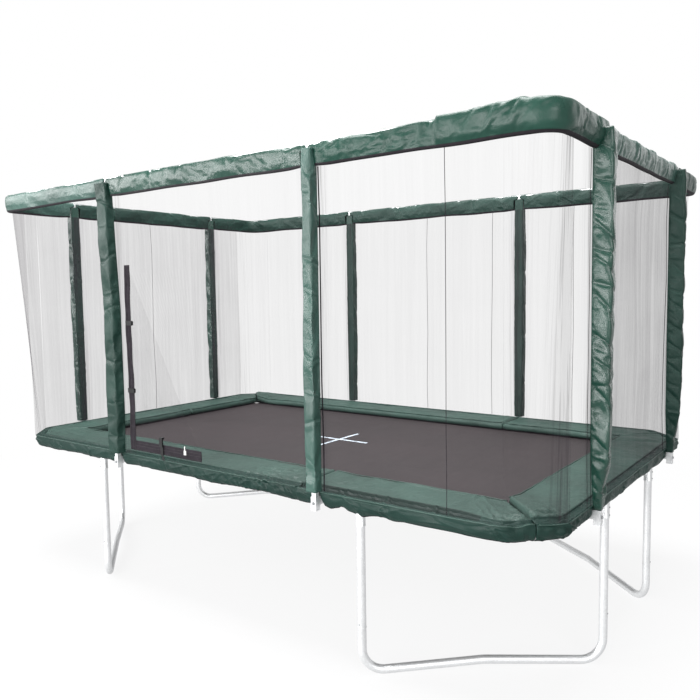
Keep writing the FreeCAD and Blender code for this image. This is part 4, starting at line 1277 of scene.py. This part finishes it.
def mitre_shade_sheets():
    """Dark sheet under each corner's mitre, painted shade that fills the gap below the pads: a band along the
    diagonal that rises from the mat to the frame.
    """
    for name, (sx, sy) in CORNERS.items():
        along = np.linspace(0.006, 0.27, 14)[:, None]
        across = np.linspace(-0.070, 0.070, 9)[None]
        x = HALF_LENGTH - PAD_IN + (along + across) * math.sqrt(0.5)
        y = HALF_WIDTH - PAD_IN + (along - across) * math.sqrt(0.5)
        z = np.interp(along, (0.0, 0.05, 0.10, 0.20, 0.24, 0.27),
                      (0.9034, 0.9040, 0.9110, 0.9190, 0.9262, 0.9280))
        z = np.broadcast_to(z, x.shape)
        points = np.stack([sx * x, sy * y, z], -1)
        patch = Patch(points, along[:, 0], across[0])
        dark_sheet = piece("pad_shade_sheet_" + name, [patch], skirt_fabric)
        thicken(dark_sheet, 0.0016)


# Mat, rings and springs

def mat_and_springs():
    """Mat in four level panels that meet on the corners' 45 degree lines, with its hem, springs and rings.

    Each panel is rows parallel to its side of the frame.
    """
    edge = FRAME_R + SPRING_REACH
    for index, side in enumerate(SIDES):
        long_side = side in ("front", "back")
        half, reach = (HALF_LENGTH, HALF_WIDTH) if long_side else (HALF_WIDTH, HALF_LENGTH)
        depth = np.linspace(edge, HALF_WIDTH, 44)[:, None]
        cut = np.clip(MAT_CUT - (depth - edge), 0, None)
        f = np.linspace(-1, 1, 120)[None]
        sheet = on_side(side, f * (np.maximum(half - depth, 1e-5) - cut), -depth, MAT_Z)
        panel = piece("mat_" + side, [Patch(sheet, depth[:, 0], f[0] * half)], mat_cloth, body=None,
                      smooth=False)
        thicken(panel, 2 * MAT_HALF_THICK, 0.0)
        d = np.array([edge, edge + 0.045])[:, None]
        a = np.linspace(-1, 1, 90)[None] * (half - d - np.clip(MAT_CUT - (d - edge), 0, None))
        levels = (MAT_Z + MAT_HALF_THICK + 0.0006, MAT_Z - MAT_HALF_THICK - 0.0006)
        hems = [Patch(on_side(side, a, -d, level), d[:, 0], a[0]) for level in levels]
        hem = piece("mat_hem_" + side, hems, tape, body=None)
        thicken(hem, 0.0008, 0.0)
        count = 17 if long_side else 9
        places = (np.arange(count) - (count - 1) / 2) * SPRING_PITCH
        coils = [spring(side, place, edge) for place in places]
        rings = [v_ring(side, place, edge) for place in places]
        springs = piece("springs_" + side, coils, dull_steel, body=None)
        links = piece("rings_" + side, rings, dull_steel, body=None)
        for obj in (panel, hem, springs, links):
            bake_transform(obj)
        if index == 0:
            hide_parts("jump_mat")
            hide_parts("springs")
            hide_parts("v_rings")


def spring(side, place, edge):
    """Coil spring: a wire that leaves the frame as a tail, turns as a helix and ends as the ring's hook."""
    start, end = FRAME_R + 0.026, edge - 0.052
    turns, per_turn, radius = 17, 8, 0.0085
    angle = np.linspace(0, 2 * np.pi * turns, turns * per_turn)
    depth = np.linspace(start, end, turns * per_turn)
    line = on_side(side, place + radius * np.cos(angle), -depth, MAT_Z + radius * np.sin(angle))
    tail_depth = FRAME_R + np.array([-0.004, 0.012, 0.022])
    tail = on_side(side, place, -tail_depth, MAT_Z + np.array([0, 0, 0.004]))
    hook_depth = np.array([end + 0.003, end + 0.014, edge - 0.026, edge - 0.020])
    hook = on_side(side, place, -hook_depth, MAT_Z + np.array([0.006, 0.005, 0.005, -0.003]))
    return wire(np.concatenate([tail, line, hook]), 0.0017, 4)


def wire(points, radius, sides):
    """Thin round wire along any line: two directions square to the line are carried along it."""
    tangent = unit(np.gradient(points, axis=0))
    guide = np.array([0.13, 0.21, 0.97])
    a = unit(np.cross(tangent, guide))
    b = np.cross(tangent, a)
    angle = np.linspace(0, 2 * np.pi, sides, endpoint=False)
    section = a[:, None] * np.cos(angle)[None, :, None] + b[:, None] * np.sin(angle)[None, :, None]
    v = np.linspace(0, 0.01, sides + 1)
    return Patch(points[:, None] + radius * section, lengths_along(points), v, wrap_cols=True, caps=True)


def v_ring(side, place, edge):
    """Three-cornered ring: a closed wire triangle with its base at the mat's edge."""
    corner = np.array([(-0.022, 0.002), (0.022, 0.002), (0.0, 0.030), (-0.022, 0.002)])
    at = np.linspace(0, 3, 19)
    a = np.interp(at, np.arange(4), corner[:, 0])
    d = np.interp(at, np.arange(4), corner[:, 1])
    line = on_side(side, place + a, -(edge - d), MAT_Z)
    return wire(line, 0.002, 5)


def mat_cross():
    """Pale cross sewn at the middle of the mat: two strips that follow the mat's top."""
    arms = [((-0.235, 0.0), (0.250, 0.0)), ((0.0, -0.240), (0.0, 0.240))]
    strips = []
    for i, (a, b) in enumerate(arms):
        a, b = np.array(a), np.array(b)
        along = b - a
        side = unit(np.array([-along[1], along[0]])) * 0.0125
        f = np.linspace(0, 1, 24)[:, None, None]
        across = np.array([-1, 1])[None, :, None]
        plan = a + along * f + side * across
        z = np.full((*plan.shape[:2], 1), MAT_Z + 0.0026 + 0.0009 * i)
        length = f[:, 0, 0] * np.linalg.norm(along)
        strips.append(Patch(np.concatenate([plan, z], -1), length, np.array([0, 0.025])))
    cross = piece("mat_cross", strips, pale_tape, body="mat")
    thicken(cross, 0.0008, 0.0)


# Doorway

def doorway():
    """L-shaped band on the net, as two wavy strips; the flap behind it, and the plastic of clips and zip."""
    low, corner, high = 0.985, 1.050, 2.190
    left, inner, right = -0.730, -0.675, -0.046
    out = 0.0428
    z = np.linspace(low, high, 120)[:, None]
    waves = (0.005 * np.sin(z * 6.0) + 0.0015 * np.sin(z * 31)) * ramp_up(z, 1.05, 0.2)
    a = np.linspace(left, inner, 8)[None] + waves
    bulge = 0.0015 * np.sin(z * 19) * np.sin(a * 50)
    upright = Patch(on_side("front", a, out + bulge, z), z[:, 0], np.linspace(0, 0.055, 8))
    a = np.linspace(inner, right, 80)[:, None]
    z = np.linspace(low, corner, 8)[None]
    bulge = 0.0020 * np.sin(a * 23) * np.sin((z - low) / (corner - low) * np.pi)
    level = Patch(on_side("front", a, out + bulge, z), a[:, 0], np.linspace(0, 0.065, 8))
    band = piece("entry_band_cloth", [upright, level], band_tape)
    thicken(band, 0.0022, 0.0)
    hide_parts("entry_band")
    flap_cloth()
    for node in ("clip_sockets", "clip_plug_upper", "clip_plug_middle", "clip_plug_lower"):
        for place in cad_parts[node].material_slots:
            place.material = black_plastic
    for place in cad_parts["zip_slider"].material_slots:
        place.material = white_plastic


def flap_cloth():
    """Entrance flap: a flat triangle whose rows shorten evenly from its foot to its tip."""
    x0, z0 = -0.687, 1.038
    x1, z1 = -0.0650, 2.1584
    f = np.linspace(0, 1, 40)[:, None]
    g = np.linspace(0, 1, 24)[None]
    z = z0 + (z1 - z0) * f
    right = x1 + (x0 - x1) * f
    a = np.where(f > 0.999, x0 + 0.0005 * g, x0 + (right - x0) * g)
    cloth = Patch(on_side("front", a, 0.03795, z), z[:, 0], g[0] * (x1 - x0))
    flap = piece("entry_flap_cloth", [cloth], net_front_cloth, body="flap")
    thicken(flap, 0.0010, 0.0)
    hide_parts("entry_flap")


# Camera, light and floor

def camera():
    """Camera at the photograph's place: yaw, pitch and roll are turned into a right, up and back frame."""
    yaw, pitch, roll = 0.6368, -0.0808, -0.0146
    forward = Vector((-math.sin(yaw) * math.cos(pitch), math.cos(yaw) * math.cos(pitch), math.sin(pitch)))
    right = Vector((math.cos(yaw), math.sin(yaw), 0))
    up = right.cross(forward)
    rolled_right = right * math.cos(roll) + up * math.sin(roll)
    rolled_up = up * math.cos(roll) - right * math.sin(roll)
    data = bpy.data.cameras.new("camera")
    data.sensor_fit = "HORIZONTAL"
    sensor, focal_pixels, photo_pixels = 36.0, 712.93, 700.0
    data.sensor_width = sensor
    data.lens = sensor * focal_pixels / photo_pixels
    data.clip_end = 100.0
    obj = bpy.data.objects.new("camera", data)
    scene.collection.objects.link(obj)
    turn = Matrix((rolled_right, rolled_up, -forward)).transposed().to_4x4()
    turn.translation = Vector((3.199, -4.179, 1.995))
    obj.matrix_world = turn
    scene.camera = obj


def area_light(name, place, target, size, power):
    """Rectangular lamp at a place, turned towards its target."""
    data = bpy.data.lights.new(name, "AREA")
    data.shape = "RECTANGLE"
    data.size, data.size_y = size
    data.energy = power
    obj = bpy.data.objects.new(name, data)
    scene.collection.objects.link(obj)
    place, target = Vector(place), Vector(target)
    turn = (target - place).to_track_quat("-Z", "Y")
    obj.matrix_world = Matrix.Translation(place) @ turn.to_matrix().to_4x4()


def surroundings():
    """World that is white to the camera and grey in reflections, and leaves the light to the lamps."""
    world = bpy.data.worlds.new("surroundings")
    scene.world = world
    world.use_nodes = True
    tree = world.node_tree
    tree.nodes.clear()
    path = tree.nodes.new("ShaderNodeLightPath")
    seen = tree.nodes.new("ShaderNodeMath")
    seen.operation = "MAXIMUM"
    tree.links.new(path.outputs["Is Camera Ray"], seen.inputs[0])
    tree.links.new(path.outputs["Is Transmission Ray"], seen.inputs[1])
    mirrored = tree.nodes.new("ShaderNodeMapRange")
    tree.links.new(path.outputs["Is Glossy Ray"], mirrored.inputs["Value"])
    mirrored.inputs["To Min"].default_value = 0.11
    mirrored.inputs["To Max"].default_value = 0.60
    strength = tree.nodes.new("ShaderNodeMath")
    strength.operation = "MAXIMUM"
    tree.links.new(seen.outputs[0], strength.inputs[0])
    tree.links.new(mirrored.outputs[0], strength.inputs[1])
    back = tree.nodes.new("ShaderNodeBackground")
    back.inputs["Color"].default_value = (1, 1, 1, 1)
    tree.links.new(strength.outputs[0], back.inputs["Strength"])
    out = tree.nodes.new("ShaderNodeOutputWorld")
    tree.links.new(back.outputs[0], out.inputs[0])


def ground():
    """Pale floor that fades into the white surroundings with the distance from the middle."""
    size = 40.0
    mesh = bpy.data.meshes.new("floor")
    corners = [(-size, -size, 0), (size, -size, 0), (size, size, 0), (-size, size, 0)]
    mesh.from_pydata(corners, [], [(0, 1, 2, 3)])
    floor = bpy.data.objects.new("floor", mesh)
    scene.collection.objects.link(floor)
    n = Nodes("floor_paint")
    where = n.coords()
    tone = n.ramp(n.noise(where, 0.6, 3), (0.3, (0.90, 0.90, 0.92)), (0.7, (0.93, 0.93, 0.94)))
    paint = n.add("ShaderNodeBsdfDiffuse", Color=tone)
    distance = n.add("ShaderNodeVectorMath", out="Value", settings={"operation": "LENGTH"}, i0=where)
    share = n.add("ShaderNodeMapRange", i0=distance, i1=2.4, i2=5.5, i3=0.88, i4=1.0)
    path = n.tree.nodes.new("ShaderNodeLightPath")
    direct = n.math("MAXIMUM", path.outputs["Is Camera Ray"], path.outputs["Is Transmission Ray"])
    share = n.math("MAXIMUM", share, n.math("SUBTRACT", 1.0, direct))
    gloss = n.math("MULTIPLY", path.outputs["Is Glossy Ray"], 0.25)
    bright = n.math("ADD", n.math("ADD", n.math("MULTIPLY", direct, 0.55), 0.45), gloss)
    glow = n.add("ShaderNodeEmission", Color=(1, 1, 1, 1), Strength=bright)
    both = n.add("ShaderNodeMixShader", i0=share, i1=paint, i2=glow)
    n.add("ShaderNodeOutputMaterial", Surface=both)
    mesh.materials.append(n.material)


def lamps():
    """Large soft lamps round the trampoline."""
    area_light("left", (-8.5, -6.0, 5.1), (0, 0, 2.0), (7.0, 3.6), 500)
    area_light("front", (-0.2, -9.5, 1.9), (1.0, 0, 1.8), (4.6, 2.6), 600)
    area_light("low_left", (-5.4, -8.9, 2.5), (0.85, -1.3, 2.1), (2.0, 2.4), 300)
    area_light("right", (7.0, -5.5, 3.4), (0.8, 0, 1.6), (3.6, 3.6), 220)
    area_light("top", (0.0, -0.5, 6.5), (0, 0, 0), (6.0, 4.0), 660)
    area_light("rear", (3.6, 8.2, 4.2), (0.5, 0, 1.8), (7.0, 5.0), 110)


camera()
surroundings()
ground()
lamps()
legs()
frame_corners()
bolts_and_posts()
post_sleeves()
rail_sleeves()
net_walls()
net_tapes()
pads()
mitre_shade_sheets()
mat_and_springs()
mat_cross()
doorway()
